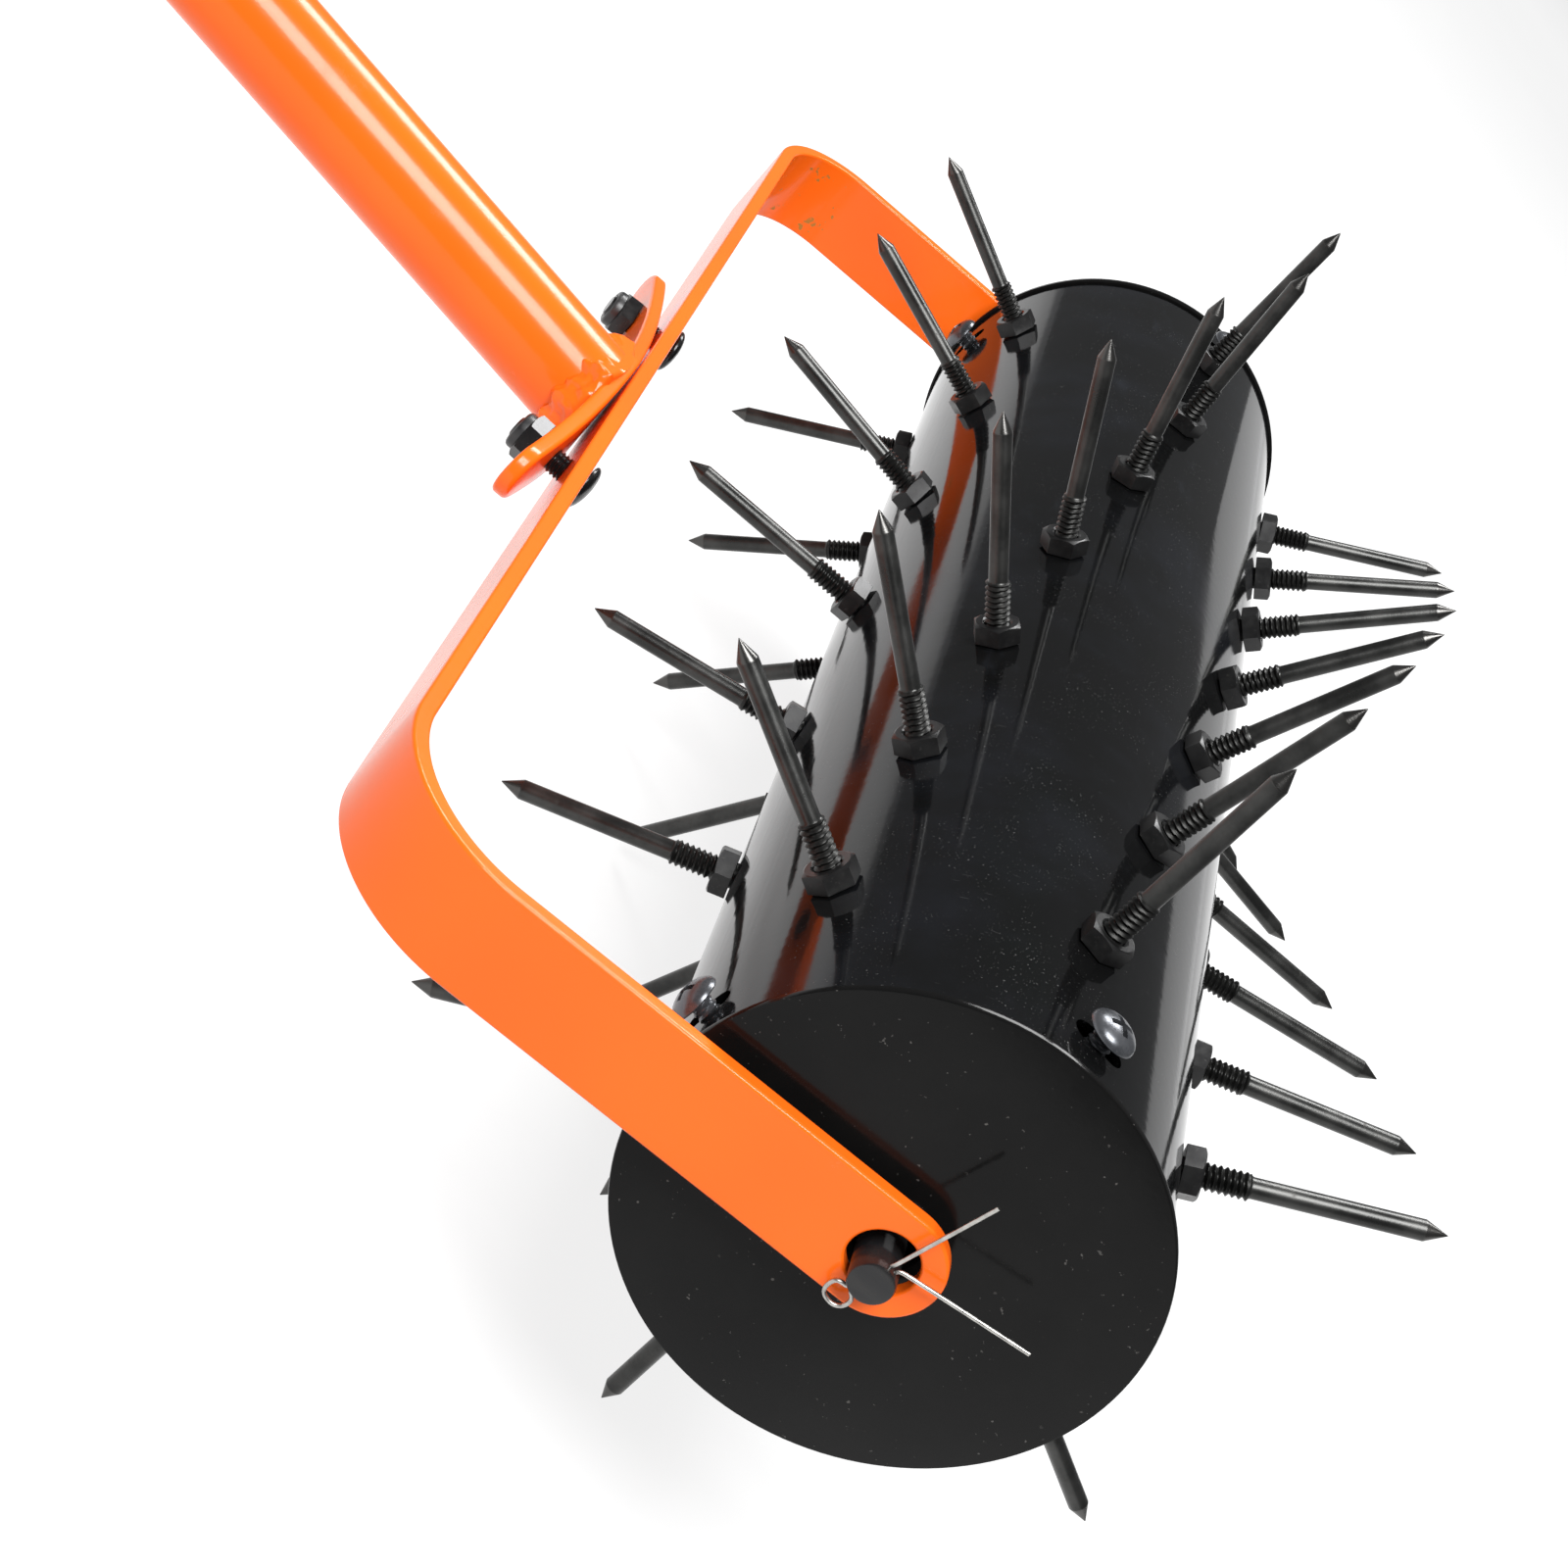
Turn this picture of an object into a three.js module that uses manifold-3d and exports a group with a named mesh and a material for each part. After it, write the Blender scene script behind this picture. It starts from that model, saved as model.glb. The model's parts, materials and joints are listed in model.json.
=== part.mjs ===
import * as THREE from 'three';
import { mergeVertices } from 'three/addons/utils/BufferGeometryUtils.js';
import Module from 'manifold-3d';

// Rolling spike aerator: a spiked drum in a flat-bar yoke, pushed by a tube handle.
// It lies as it is put down, on its lowest spikes and on the end of its grip.
// Lengths are in millimetres and angles in degrees.

const wasm = await Module();
wasm.setup();

// Clearances and overruns
const seatGap = 0.3;
const cutOverrun = 6;
const joinDepth = 1;

// Drum shell
const shellRadius = 50;
const shellWall = 1.5;
const shellLength = 393.8;
const shellSides = 44;

// End discs with bent tabs
const discRadius = 51.6;
const discThickness = 2;
const discGap = 1.5;
const discSides = 44;
const tabWidth = 16;
const tabLength = 24;
const tabThickness = 2;

// Truss-head screws that hold the tabs in the shell
const screwCount = 4;
const screwFirstAngle = -64.5;
const screwInset = 15;
const screwRadius = 2.5;
const screwHeadRadius = 5;
const screwHeadHeight = 2.9;
const screwHeadLift = 1.6;
const screwTail = 4;
const screwSlotTravel = 3;
const screwSides = 8;

// Spikes in helical rows, each a stud with a lock nut
const spikeRows = 6;
const spikesPerRow = 7;
const spikeNearInset = 44;
const spikeFarInset = 35;
const spikeTwist = -10;
const spikeTipRadius = 101.8;
const spikeConeLength = 4.4;
const spikeShaftRadius = 2.15;
const spikeStudRadius = 2.8;
const spikeShoulderRadius = 63.8;
const spikeShoulderTaper = 0.7;
const spikeTail = 4;
const spikeSides = 8;
const spikeNutAcrossFlats = 9.6;
const spikeNutHeight = 4.2;

// Three spikes stand a little round from their row
const spikeStray = { '0.4': -3, '0.5': -5, '1.6': 3 };

// Axle rod with a cotter pin at each end
const axleRadius = 4.53;
const axleSides = 32;
const axleNearReach = 12.3;
const axleFarReach = 15.15;
const axleChamfer = 0.6;
const pinInset = 2.25;
const pinWireRadius = 0.6;
const pinEyeRadius = 1.9;
const pinEyeGap = 0.9;
const pinLegReach = 28.1;
const pinBentReach = 31;
const pinAngle = -107.6;
const pinLegSpread = 5.5;
const pinBentSpread = -57.5;

// Yoke bent from flat bar
const barWidth = 24;
const barThickness = 3.75;
const barReach = 124.4;
const barNearBendRadius = 29;
const barFarBendRadius = 22;
const yokeHoleRadius = 6.9;
const yokeNearGap = 3.9;
const yokeFarGap = 6.5;

// Bowed oval flange plate welded to the foot of the handle
const plateThickness = 3.8;
const plateBowRadius = 350;
const plateBowCentre = 6.7;
const plateNearLength = 62.3;
const plateFarLength = 68.7;
const plateEndRadius = 5;
const beadLeg = 4.5;
const beadHeight = 6;
const beadOverhang = 1.2;

// Dome-head bolts and lock nuts
const boltSpacing = 89;
const boltRadius = 3;
const boltHeadRadius = 6;
const boltHeadHeight = 3.2;
const boltTail = 0.5;
const boltSides = 24;
const lockNutAcrossFlats = 10;
const lockNutHeight = 4;
const lockNutCollarHeight = 2;
const lockNutCollarRadius = 4.6;

// Handle tube and grip
const tubeRadius = 12.5;
const tubeWall = 1.6;
const tubeSides = 36;
const tubeLength = 1140;
const tubeLean = 9.7;
const tubeFootOffset = -4.2;
const gripRadius = 15.5;
const gripLength = 125;
const gripCap = 4;
const gripCollarRadius = 18;
const gripCollarLength = 6;
const gripEdgeRadius = 3;
const gripGrooveDepth = 0.9;
const gripSides = 28;
const gripGrooveCount = 5;

// Angle of the drum's first row against the arms of the yoke
const drumPhase = -30.6;

// Values worked out from the sizes above
const rollerLength = shellLength + 2 * (discGap + discThickness);
const nearEnd = -rollerLength / 2;
const farEnd = rollerLength / 2;
const yokeNearInner = nearEnd - yokeNearGap;
const yokeFarInner = farEnd + yokeFarGap;
const yokeNearOuter = yokeNearInner - barThickness;
const yokeFarOuter = yokeFarInner + barThickness;
const yokeMiddle = (yokeNearOuter + yokeFarOuter) / 2;
const barHalf = barWidth / 2;
const barInner = barReach - barThickness;
const axleDrop = yokeHoleRadius - axleRadius - seatGap;
const handleFootY = yokeMiddle + tubeFootOffset;
const plateBottom = barReach + seatGap;
const plateMiddle = yokeMiddle + (plateFarLength - plateNearLength) / 2;
const plateTopRadius = plateBowRadius - plateThickness;
const shellInner = shellRadius - shellWall;
const spikeRun = rollerLength - spikeNearInset - spikeFarInset;
const spikePitch = spikeRun / (spikesPerRow - 1);

const radians = (degrees) => degrees * Math.PI / 180;

// Solids

function solidOf(geometry) {
  const bare = geometry.clone();
  bare.deleteAttribute('normal');
  bare.deleteAttribute('uv');
  const merged = mergeVertices(bare);
  const triangles = [];
  const index = merged.index.array;
  for (let i = 0; i < index.length; i += 3) {
    const [a, b, c] = [index[i], index[i + 1], index[i + 2]];
    if (a !== b && b !== c && c !== a) {
      triangles.push(a, b, c);
    }
  }
  const mesh = new wasm.Mesh({
    numProp: 3,
    vertProperties: new Float32Array(merged.attributes.position.array),
    triVerts: new Uint32Array(triangles),
  });
  return new wasm.Manifold(mesh);
}

function geometryOf(solid) {
  const mesh = solid.getMesh();
  const geometry = new THREE.BufferGeometry();
  geometry.setAttribute('position', new THREE.BufferAttribute(mesh.vertProperties, 3));
  geometry.setIndex(new THREE.BufferAttribute(mesh.triVerts, 1));
  geometry.computeVertexNormals();
  return geometry;
}

// A bar along +X from start to end, round or with few sides
function roundAlongX(radius, start, end, sides, endRadius = radius) {
  const geometry = new THREE.CylinderGeometry(endRadius, radius, end - start, sides);
  geometry.translate(0, (start + end) / 2, 0);
  geometry.rotateZ(-Math.PI / 2);
  return geometry;
}

// The same along +Y
function roundAlongY(radius, start, end, sides) {
  const geometry = new THREE.CylinderGeometry(radius, radius, end - start, sides);
  geometry.translate(0, (start + end) / 2, 0);
  return geometry;
}

// A profile of radius and distance pairs turned round the X axis
function turnedAlongX(profile, sides) {
  const points = profile.map(([radius, along]) => new THREE.Vector2(radius, along));
  const geometry = new THREE.LatheGeometry(points, sides);
  geometry.rotateZ(-Math.PI / 2);
  return geometry;
}

// The same round the Y axis
function turnedAlongY(profile, sides) {
  const points = profile.map(([radius, along]) => new THREE.Vector2(radius, along));
  return new THREE.LatheGeometry(points, sides);
}

// A domed head from its crown to its rim
function domeProfile(radius, height, base, steps) {
  const profile = [];
  for (let i = 0; i <= steps; i += 1) {
    const angle = (i / steps) * (Math.PI / 2);
    const along = base + height * Math.cos(angle);
    profile.push([i === 0 ? 0 : radius * Math.sin(angle), along]);
  }
  return profile;
}

function extruded(shape, depth, curveSegments) {
  return new THREE.ExtrudeGeometry(shape, { depth, curveSegments, bevelEnabled: false });
}

// Moves a shape drawn in X and Y, and pushed along Z, to lie in Y and Z and run along X
const acrossX = new THREE.Matrix4().makeBasis(
  new THREE.Vector3(0, 1, 0),
  new THREE.Vector3(0, 0, 1),
  new THREE.Vector3(1, 0, 0),
);

// A slot outline with round ends, from start to end along the first axis
function slotShape(start, end, half) {
  const shape = new THREE.Shape();
  shape.absarc(end - half, 0, half, -Math.PI / 2, Math.PI / 2, false);
  shape.absarc(start + half, 0, half, Math.PI / 2, 3 * Math.PI / 2, false);
  shape.closePath();
  return shape;
}

function material(color, roughness, metalness) {
  return new THREE.MeshStandardMaterial({ color, roughness, metalness });
}

const orangePaint = () => material(0xf26a1e, 0.32, 0);
const blackPaint = () => material(0x0b0c0d, 0.22, 0);
const blackSatin = () => material(0x222222, 0.6, 0);
const gunmetal = () => material(0x4a4642, 0.38, 0.9);
const blackSteel = () => material(0x1c1c1d, 0.45, 0.7);
const zincSteel = () => material(0xb9bcc0, 0.3, 1);
const axleSteel = () => material(0x77787a, 0.4, 1);
const blackRubber = () => material(0x161616, 0.8, 0);

function addPiece(parent, name, geometry, surface) {
  const mesh = new THREE.Mesh(geometry, surface);
  mesh.name = name;
  parent.add(mesh);
  return mesh;
}

// Where each spike stands: its angle round the drum and its place along it

const spikePlaces = [];
for (let row = 0; row < spikeRows; row += 1) {
  for (let place = 0; place < spikesPerRow; place += 1) {
    const stray = spikeStray[`${row}.${place}`] ?? 0;
    spikePlaces.push({
      name: `spike_${row + 1}_${place + 1}`,
      angle: 360 * row / spikeRows + spikeTwist * place + stray,
      along: nearEnd + spikeNearInset + spikePitch * place,
    });
  }
}

const screwAngles = [];
for (let i = 0; i < screwCount; i += 1) {
  screwAngles.push(screwFirstAngle + 360 * i / screwCount);
}

// Turns a piece made along +X to an angle round the drum and a place along it
function roundDrum(angle, along) {
  const turn = new THREE.Matrix4().makeRotationY(-radians(angle));
  return turn.setPosition(0, along, 0);
}

// Drum shell

function makeShell() {
  const half = shellLength / 2;
  const ring = [
    [shellInner, -half],
    [shellRadius, -half],
    [shellRadius, half],
    [shellInner, half],
    [shellInner, -half],
  ];
  let shell = solidOf(turnedAlongY(ring, shellSides));
  const reach = shellRadius + cutOverrun;
  const holeRadius = (spikeStudRadius + seatGap) / Math.cos(Math.PI / spikeSides);
  for (const { angle, along } of spikePlaces) {
    const hole = roundAlongX(holeRadius, shellInner - cutOverrun, reach, spikeSides);
    hole.applyMatrix4(roundDrum(angle, along));
    shell = shell.subtract(solidOf(hole));
  }
  const slotHalf = screwRadius + seatGap;
  const slotLength = slotHalf + screwSlotTravel;
  for (const end of [nearEnd + screwInset, farEnd - screwInset]) {
    for (const angle of screwAngles) {
      const slot = extruded(slotShape(-slotLength, slotLength, slotHalf), 2 * cutOverrun, 3);
      slot.translate(0, 0, shellRadius - cutOverrun);
      slot.rotateZ(Math.PI / 2);
      slot.applyMatrix4(acrossX);
      slot.applyMatrix4(roundDrum(angle, end));
      shell = shell.subtract(solidOf(slot));
    }
  }
  return geometryOf(shell);
}

// End disc with its tabs and screws, made for the near end with its outer face at nearEnd

function makeDisc() {
  const outerFace = nearEnd;
  const innerFace = nearEnd + discThickness;
  const ring = [
    [yokeHoleRadius, outerFace],
    [discRadius, outerFace],
    [discRadius, innerFace],
    [yokeHoleRadius, innerFace],
    [yokeHoleRadius, outerFace],
  ];
  let disc = solidOf(turnedAlongY(ring, discSides));
  const tabReach = shellInner * Math.cos(Math.PI / shellSides) - seatGap;
  const tabFace = Math.sqrt(tabReach ** 2 - (tabWidth / 2) ** 2);
  const headBase = shellRadius + screwHeadLift;
  const headTop = headBase + screwHeadHeight;
  const screwProfile = [
    [0, tabFace - tabThickness - screwTail],
    [screwRadius, tabFace - tabThickness - screwTail],
    [screwRadius, headBase],
    [screwHeadRadius, headBase],
  ];
  const dome = domeProfile(screwHeadRadius, headTop - headBase, headBase, 3).reverse();
  for (const point of dome.slice(1)) {
    screwProfile.push(point);
  }
  for (const angle of screwAngles) {
    const tabDepth = tabLength + joinDepth;
    const tab = new THREE.BoxGeometry(tabThickness, tabDepth, tabWidth);
    tab.translate(tabFace - tabThickness / 2, tabDepth / 2, 0);
    tab.applyMatrix4(roundDrum(angle, innerFace - joinDepth));
    const screw = turnedAlongX(screwProfile, screwSides);
    screw.applyMatrix4(roundDrum(angle, nearEnd + screwInset));
    disc = disc.add(solidOf(tab)).add(solidOf(screw));
  }
  return geometryOf(disc);
}

// Spike: a stud through the shell, a hex nut on it, a slim shaft and a cone point

function makeSpike() {
  const profile = [
    [0, shellInner - spikeTail],
    [spikeStudRadius, shellInner - spikeTail],
    [spikeStudRadius, spikeShoulderRadius - spikeShoulderTaper],
    [spikeShaftRadius, spikeShoulderRadius],
    [spikeShaftRadius, spikeTipRadius - spikeConeLength],
    [0, spikeTipRadius],
  ];
  const stud = solidOf(turnedAlongX(profile, spikeSides));
  const nutCorner = spikeNutAcrossFlats / 2 / Math.cos(Math.PI / 6);
  const nutBase = shellRadius + seatGap;
  const nut = solidOf(roundAlongX(nutCorner, nutBase, nutBase + spikeNutHeight, 6));
  return geometryOf(stud.add(nut));
}

// Axle with a cross hole for the cotter pin near each end

function makeAxle() {
  const start = nearEnd - axleNearReach;
  const end = farEnd + axleFarReach;
  const profile = [
    [0, start],
    [axleRadius - axleChamfer, start],
    [axleRadius, start + axleChamfer],
    [axleRadius, end - axleChamfer],
    [axleRadius - axleChamfer, end],
    [0, end],
  ];
  let axle = solidOf(turnedAlongY(profile, axleSides));
  const holeRadius = 2 * pinWireRadius + seatGap;
  const reach = axleRadius + cutOverrun;
  for (const along of [start + pinInset, end - pinInset]) {
    const hole = roundAlongX(holeRadius, -reach, reach, 10);
    hole.applyMatrix4(roundDrum(pinAngle, along));
    axle = axle.subtract(solidOf(hole));
  }
  return geometryOf(axle);
}

// Cotter pin along +X: an eye, a double shank and two legs spread past the axle

function wireLeg(side, reach, spread) {
  const tip = new THREE.Vector3(reach * Math.cos(radians(spread)), 0, reach * Math.sin(radians(spread)));
  const start = new THREE.Vector3(axleRadius + pinWireRadius, 0, side * pinWireRadius);
  const bend = new THREE.Vector3(axleRadius + 3 * pinWireRadius, 0, side * pinWireRadius);
  const path = new THREE.QuadraticBezierCurve3(start, bend, tip);
  const section = new THREE.Shape().absarc(0, 0, pinWireRadius, 0, 2 * Math.PI, false);
  return new THREE.ExtrudeGeometry(section, {
    steps: 7,
    curveSegments: 3,
    extrudePath: path,
  });
}

function makePin() {
  const eyeX = -axleRadius - pinEyeGap - pinEyeRadius;
  const eye = new THREE.TorusGeometry(pinEyeRadius, pinWireRadius, 6, 16);
  eye.rotateX(Math.PI / 2);
  eye.translate(eyeX, 0, 0);
  const shankStart = eyeX + pinEyeRadius - pinWireRadius / 2;
  const shankEnd = axleRadius + 2 * pinWireRadius;
  const shank = roundAlongX(2 * pinWireRadius, shankStart, shankEnd, 10);
  return geometryOf(
    solidOf(shank)
      .add(solidOf(eye))
      .add(solidOf(wireLeg(1, pinLegReach, pinLegSpread)))
      .add(solidOf(wireLeg(-1, pinBentReach, pinBentSpread))),
  );
}

// Yoke: a U of flat bar with round arm ends, axle holes and bolt holes

function yokeOutline() {
  const nearX = barInner - barNearBendRadius;
  const farX = barInner - barFarBendRadius;
  const nearY = yokeNearInner + barNearBendRadius;
  const farY = yokeFarInner - barFarBendRadius;
  const nearOuterBend = barNearBendRadius + barThickness;
  const farOuterBend = barFarBendRadius + barThickness;
  const shape = new THREE.Shape();
  shape.moveTo(-barWidth, yokeNearOuter);
  shape.lineTo(nearX, yokeNearOuter);
  shape.absarc(nearX, nearY, nearOuterBend, -Math.PI / 2, 0, false);
  shape.absarc(farX, farY, farOuterBend, 0, Math.PI / 2, false);
  shape.lineTo(-barWidth, yokeFarOuter);
  shape.lineTo(-barWidth, yokeFarInner);
  shape.absarc(farX, farY, barFarBendRadius, Math.PI / 2, 0, true);
  shape.absarc(nearX, nearY, barNearBendRadius, 0, -Math.PI / 2, true);
  shape.lineTo(-barWidth, yokeNearInner);
  shape.closePath();
  return shape;
}

// Each bolt stands square to the bowed plate and crosses the bar's outer face at its own place
const boltLines = [-boltSpacing / 2, boltSpacing / 2].map((half) => {
  const along = plateMiddle + half;
  const centreX = plateBottom + plateBowRadius - barReach;
  const centreY = yokeMiddle + plateBowCentre - along;
  const lean = Math.atan2(centreY, centreX);
  const plateTop = Math.hypot(centreX, centreY) - plateTopRadius;
  const place = new THREE.Matrix4().makeRotationZ(lean).setPosition(barReach, along, 0);
  return { lean, plateTop, place };
});

function makeYoke() {
  const strip = extruded(yokeOutline(), barWidth, 8);
  strip.translate(0, 0, -barHalf);
  const span = yokeFarOuter - yokeNearOuter + 2 * cutOverrun;
  const side = extruded(slotShape(-barHalf, barReach + 2 * barWidth, barHalf), span, 10);
  side.rotateX(Math.PI / 2);
  side.translate(0, yokeFarOuter + cutOverrun, 0);
  let yoke = solidOf(strip).intersect(solidOf(side));
  const axleHole = roundAlongY(
    yokeHoleRadius,
    yokeNearOuter - cutOverrun,
    yokeFarOuter + cutOverrun,
    axleSides,
  );
  yoke = yoke.subtract(solidOf(axleHole));
  for (const line of boltLines) {
    yoke = yoke.subtract(boltHole(line, -barThickness - cutOverrun, cutOverrun));
  }
  return geometryOf(yoke);
}

function boltHole(line, start, end) {
  const radius = (boltRadius + seatGap) / Math.cos(Math.PI / boltSides);
  const hole = roundAlongX(radius, start, end, boltSides);
  hole.applyMatrix4(line.place);
  return solidOf(hole);
}

// Flange plate: a bowed oval, closest to the bar at plateBowCentre

function bowedStrip(nearLength, farLength, outward, inward, width) {
  const centreX = plateBottom + plateBowRadius;
  const centreY = yokeMiddle + plateBowCentre;
  const nearTurn = Math.asin((-nearLength - plateBowCentre) / plateBowRadius);
  const farTurn = Math.asin((farLength - plateBowCentre) / plateBowRadius);
  const shape = new THREE.Shape();
  const lower = plateBowRadius + inward;
  const upper = plateBowRadius - outward;
  shape.absarc(centreX, centreY, lower, Math.PI - nearTurn, Math.PI - farTurn, true);
  shape.absarc(centreX, centreY, upper, Math.PI - farTurn, Math.PI - nearTurn, false);
  shape.closePath();
  const strip = extruded(shape, width, 8);
  strip.translate(0, 0, -width / 2);
  return strip;
}

const handlePlace = new THREE.Matrix4()
  .makeRotationY(radians(tubeLean))
  .setPosition(barReach, handleFootY, 0);

// An oval as wide as the bar in its middle, with a small round at each end
function ovalShape(grow) {
  const reach = (plateNearLength + plateFarLength) / 2 - plateEndRadius;
  const turn = Math.acos((barHalf - plateEndRadius) / reach);
  const end = plateEndRadius + grow;
  const waist = barHalf + grow;
  const shape = new THREE.Shape();
  shape.absarc(plateMiddle + reach, 0, end, -turn, turn, false);
  shape.absarc(plateMiddle, 0, waist, turn, Math.PI - turn, false);
  shape.absarc(plateMiddle - reach, 0, end, Math.PI - turn, Math.PI + turn, false);
  shape.absarc(plateMiddle, 0, waist, Math.PI + turn, 2 * Math.PI - turn, false);
  shape.closePath();
  return shape;
}

function ovalBlock(grow) {
  const block = extruded(ovalShape(grow), plateBowRadius, 8);
  block.applyMatrix4(acrossX);
  block.translate(barInner, 0, 0);
  return solidOf(block);
}

function makePlate() {
  let plate = solidOf(bowedStrip(plateNearLength, plateFarLength, plateThickness, 0, barWidth));
  plate = plate.intersect(ovalBlock(0));
  for (const line of boltLines) {
    plate = plate.subtract(boltHole(line, -cutOverrun, line.plateTop + cutOverrun));
  }
  return geometryOf(plate.add(makeBead()));
}

// Weld bead round the foot of the tube, a little past the edges of the plate
function makeBead() {
  const base = plateBottom + plateThickness / 2;
  const top = plateBottom + plateThickness + beadHeight;
  const cone = roundAlongX(tubeRadius + 2 * beadLeg, base, top, 28, tubeRadius + beadLeg / 2);
  cone.translate(0, handleFootY, 0);
  const room = roundAlongX(tubeRadius + seatGap, -tubeRadius, tubeRadius + beadHeight * 4, 40);
  room.applyMatrix4(handlePlace);
  return solidOf(cone).subtract(solidOf(room)).intersect(ovalBlock(beadOverhang));
}

// Where a lock nut stands on the hollow of the plate
function nutBase(plateTop) {
  const corner = lockNutAcrossFlats / 2 / Math.cos(Math.PI / 6);
  return plateTop + seatGap + corner ** 2 / (2 * plateTopRadius);
}

// Bolt along +X with its domed head inside the yoke

function makeBolt({ lean, plateTop }) {
  const tilt = boltHeadRadius * Math.sin(Math.abs(lean));
  const headBase = -(barThickness + seatGap + tilt) / Math.cos(lean);
  const end = nutBase(plateTop) + lockNutHeight + lockNutCollarHeight + boltTail;
  const profile = domeProfile(boltHeadRadius, -boltHeadHeight, headBase, 5);
  profile.push([boltRadius, headBase]);
  profile.push([boltRadius, end]);
  profile.push([0, end]);
  return turnedAlongX(profile, boltSides);
}

function makeLockNut({ plateTop }) {
  const base = nutBase(plateTop);
  const shoulder = base + lockNutHeight;
  const corner = lockNutAcrossFlats / 2 / Math.cos(Math.PI / 6);
  const hexagon = roundAlongX(corner, base, shoulder, 6);
  const collarBase = shoulder - joinDepth;
  const collarTop = shoulder + lockNutCollarHeight;
  const collar = roundAlongX(lockNutCollarRadius, collarBase, collarTop, boltSides);
  const radius = (boltRadius + seatGap) / Math.cos(Math.PI / boltSides);
  const bore = roundAlongX(radius, base - cutOverrun, collarTop + cutOverrun, boltSides);
  return geometryOf(solidOf(hexagon).add(solidOf(collar)).subtract(solidOf(bore)));
}

// Handle tube along +X, cut at its foot to the bow of the plate

function makeTube() {
  const inner = tubeRadius - tubeWall;
  const start = -tubeRadius;
  const profile = [
    [inner, start],
    [tubeRadius, start],
    [tubeRadius, tubeLength],
    [inner, tubeLength],
    [inner, start],
  ];
  const below = bowedStrip(
    plateNearLength,
    plateFarLength,
    plateThickness + seatGap,
    2 * tubeRadius,
    4 * tubeRadius,
  );
  below.applyMatrix4(handlePlace.clone().invert());
  return geometryOf(solidOf(turnedAlongX(profile, tubeSides)).subtract(solidOf(below)));
}

// Grip: a rubber sleeve with a collar, grooves and a flat closed end

function makeGrip() {
  const end = tubeLength + seatGap + gripCap;
  const start = end - gripLength;
  const bore = tubeRadius + seatGap;
  const profile = [
    [0, end - gripCap],
    [bore, end - gripCap],
    [bore, start],
    [gripCollarRadius, start],
    [gripCollarRadius, start + gripCollarLength],
    [gripRadius, start + gripCollarLength + gripCollarRadius - gripRadius],
  ];
  const grooveStart = start + 2 * gripCollarLength;
  const grooveStep = (gripLength - 4 * gripCollarLength) / gripGrooveCount;
  for (let i = 0; i < gripGrooveCount; i += 1) {
    const from = grooveStart + grooveStep * i;
    profile.push([gripRadius, from + grooveStep * 0.35]);
    profile.push([gripRadius - gripGrooveDepth, from + grooveStep * 0.5]);
    profile.push([gripRadius, from + grooveStep * 0.65]);
  }
  profile.push([gripRadius, end - gripEdgeRadius]);
  profile.push([gripRadius - gripEdgeRadius * 0.3, end - gripEdgeRadius * 0.3]);
  profile.push([gripRadius - gripEdgeRadius, end]);
  profile.push([0, end]);
  return turnedAlongX(profile, gripSides);
}

// Assembly: the roller turns in the frame, and the frame leans until the grip meets the ground

const aerator = new THREE.Group();
const frame = new THREE.Group();
const roller = new THREE.Group();
const handle = new THREE.Group();
aerator.add(frame);
frame.add(roller);
frame.add(handle);

roller.rotation.y = -radians(drumPhase);
handle.applyMatrix4(handlePlace);

addPiece(roller, 'drum_shell', makeShell(), blackPaint());

const discGeometry = makeDisc();
addPiece(roller, 'end_disc_near', discGeometry, blackSatin());
const farDisc = addPiece(roller, 'end_disc_far', discGeometry.clone(), blackSatin());
farDisc.rotation.set(Math.PI, radians(2 * screwFirstAngle), 0);

const spikeGeometry = makeSpike();
for (const { name, angle, along } of spikePlaces) {
  const spike = addPiece(roller, name, spikeGeometry.clone(), gunmetal());
  spike.position.y = along;
  spike.rotation.y = -radians(angle);
}

addPiece(frame, 'yoke', makeYoke(), orangePaint());
addPiece(frame, 'flange_plate', makePlate(), orangePaint());

const axle = addPiece(frame, 'axle', makeAxle(), axleSteel());
axle.position.z = axleDrop;

const pinEnds = [
  ['cotter_pin_near', nearEnd - axleNearReach + pinInset],
  ['cotter_pin_far', farEnd + axleFarReach - pinInset],
];
for (const [name, along] of pinEnds) {
  const pin = addPiece(frame, name, makePin(), zincSteel());
  pin.position.set(0, along, axleDrop);
  pin.rotation.y = -radians(pinAngle);
}

for (const [i, end] of ['near', 'far'].entries()) {
  const line = boltLines[i];
  addPiece(frame, `plate_bolt_${end}`, makeBolt(line), blackSteel()).applyMatrix4(line.place);
  addPiece(frame, `lock_nut_${end}`, makeLockNut(line), blackSteel()).applyMatrix4(line.place);
}

addPiece(handle, 'handle_tube', makeTube(), orangePaint());
addPiece(handle, 'handle_grip', makeGrip(), blackRubber());

// Slope of the handle at which its grip is as low as the lowest spike
function gripClearance(slope) {
  const armAngle = 180 + slope + tubeLean;
  let lowestTip = 0;
  for (const { angle } of spikePlaces) {
    const height = spikeTipRadius * Math.sin(radians(armAngle + drumPhase + angle));
    lowestTip = Math.min(lowestTip, height);
  }
  const barHeight = barReach * Math.sin(radians(armAngle));
  const reach = tubeLength + seatGap + gripCap - gripEdgeRadius;
  const gripLow = barHeight - reach * Math.sin(radians(slope)) - gripRadius * Math.cos(radians(slope));
  return gripLow - lowestTip;
}

let low = 0;
let high = 30;
for (let i = 0; i < 40; i += 1) {
  const middle = (low + high) / 2;
  if (gripClearance(middle) > 0) {
    low = middle;
  } else {
    high = middle;
  }
}
frame.rotation.y = -radians(180 + low + tubeLean);

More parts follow.
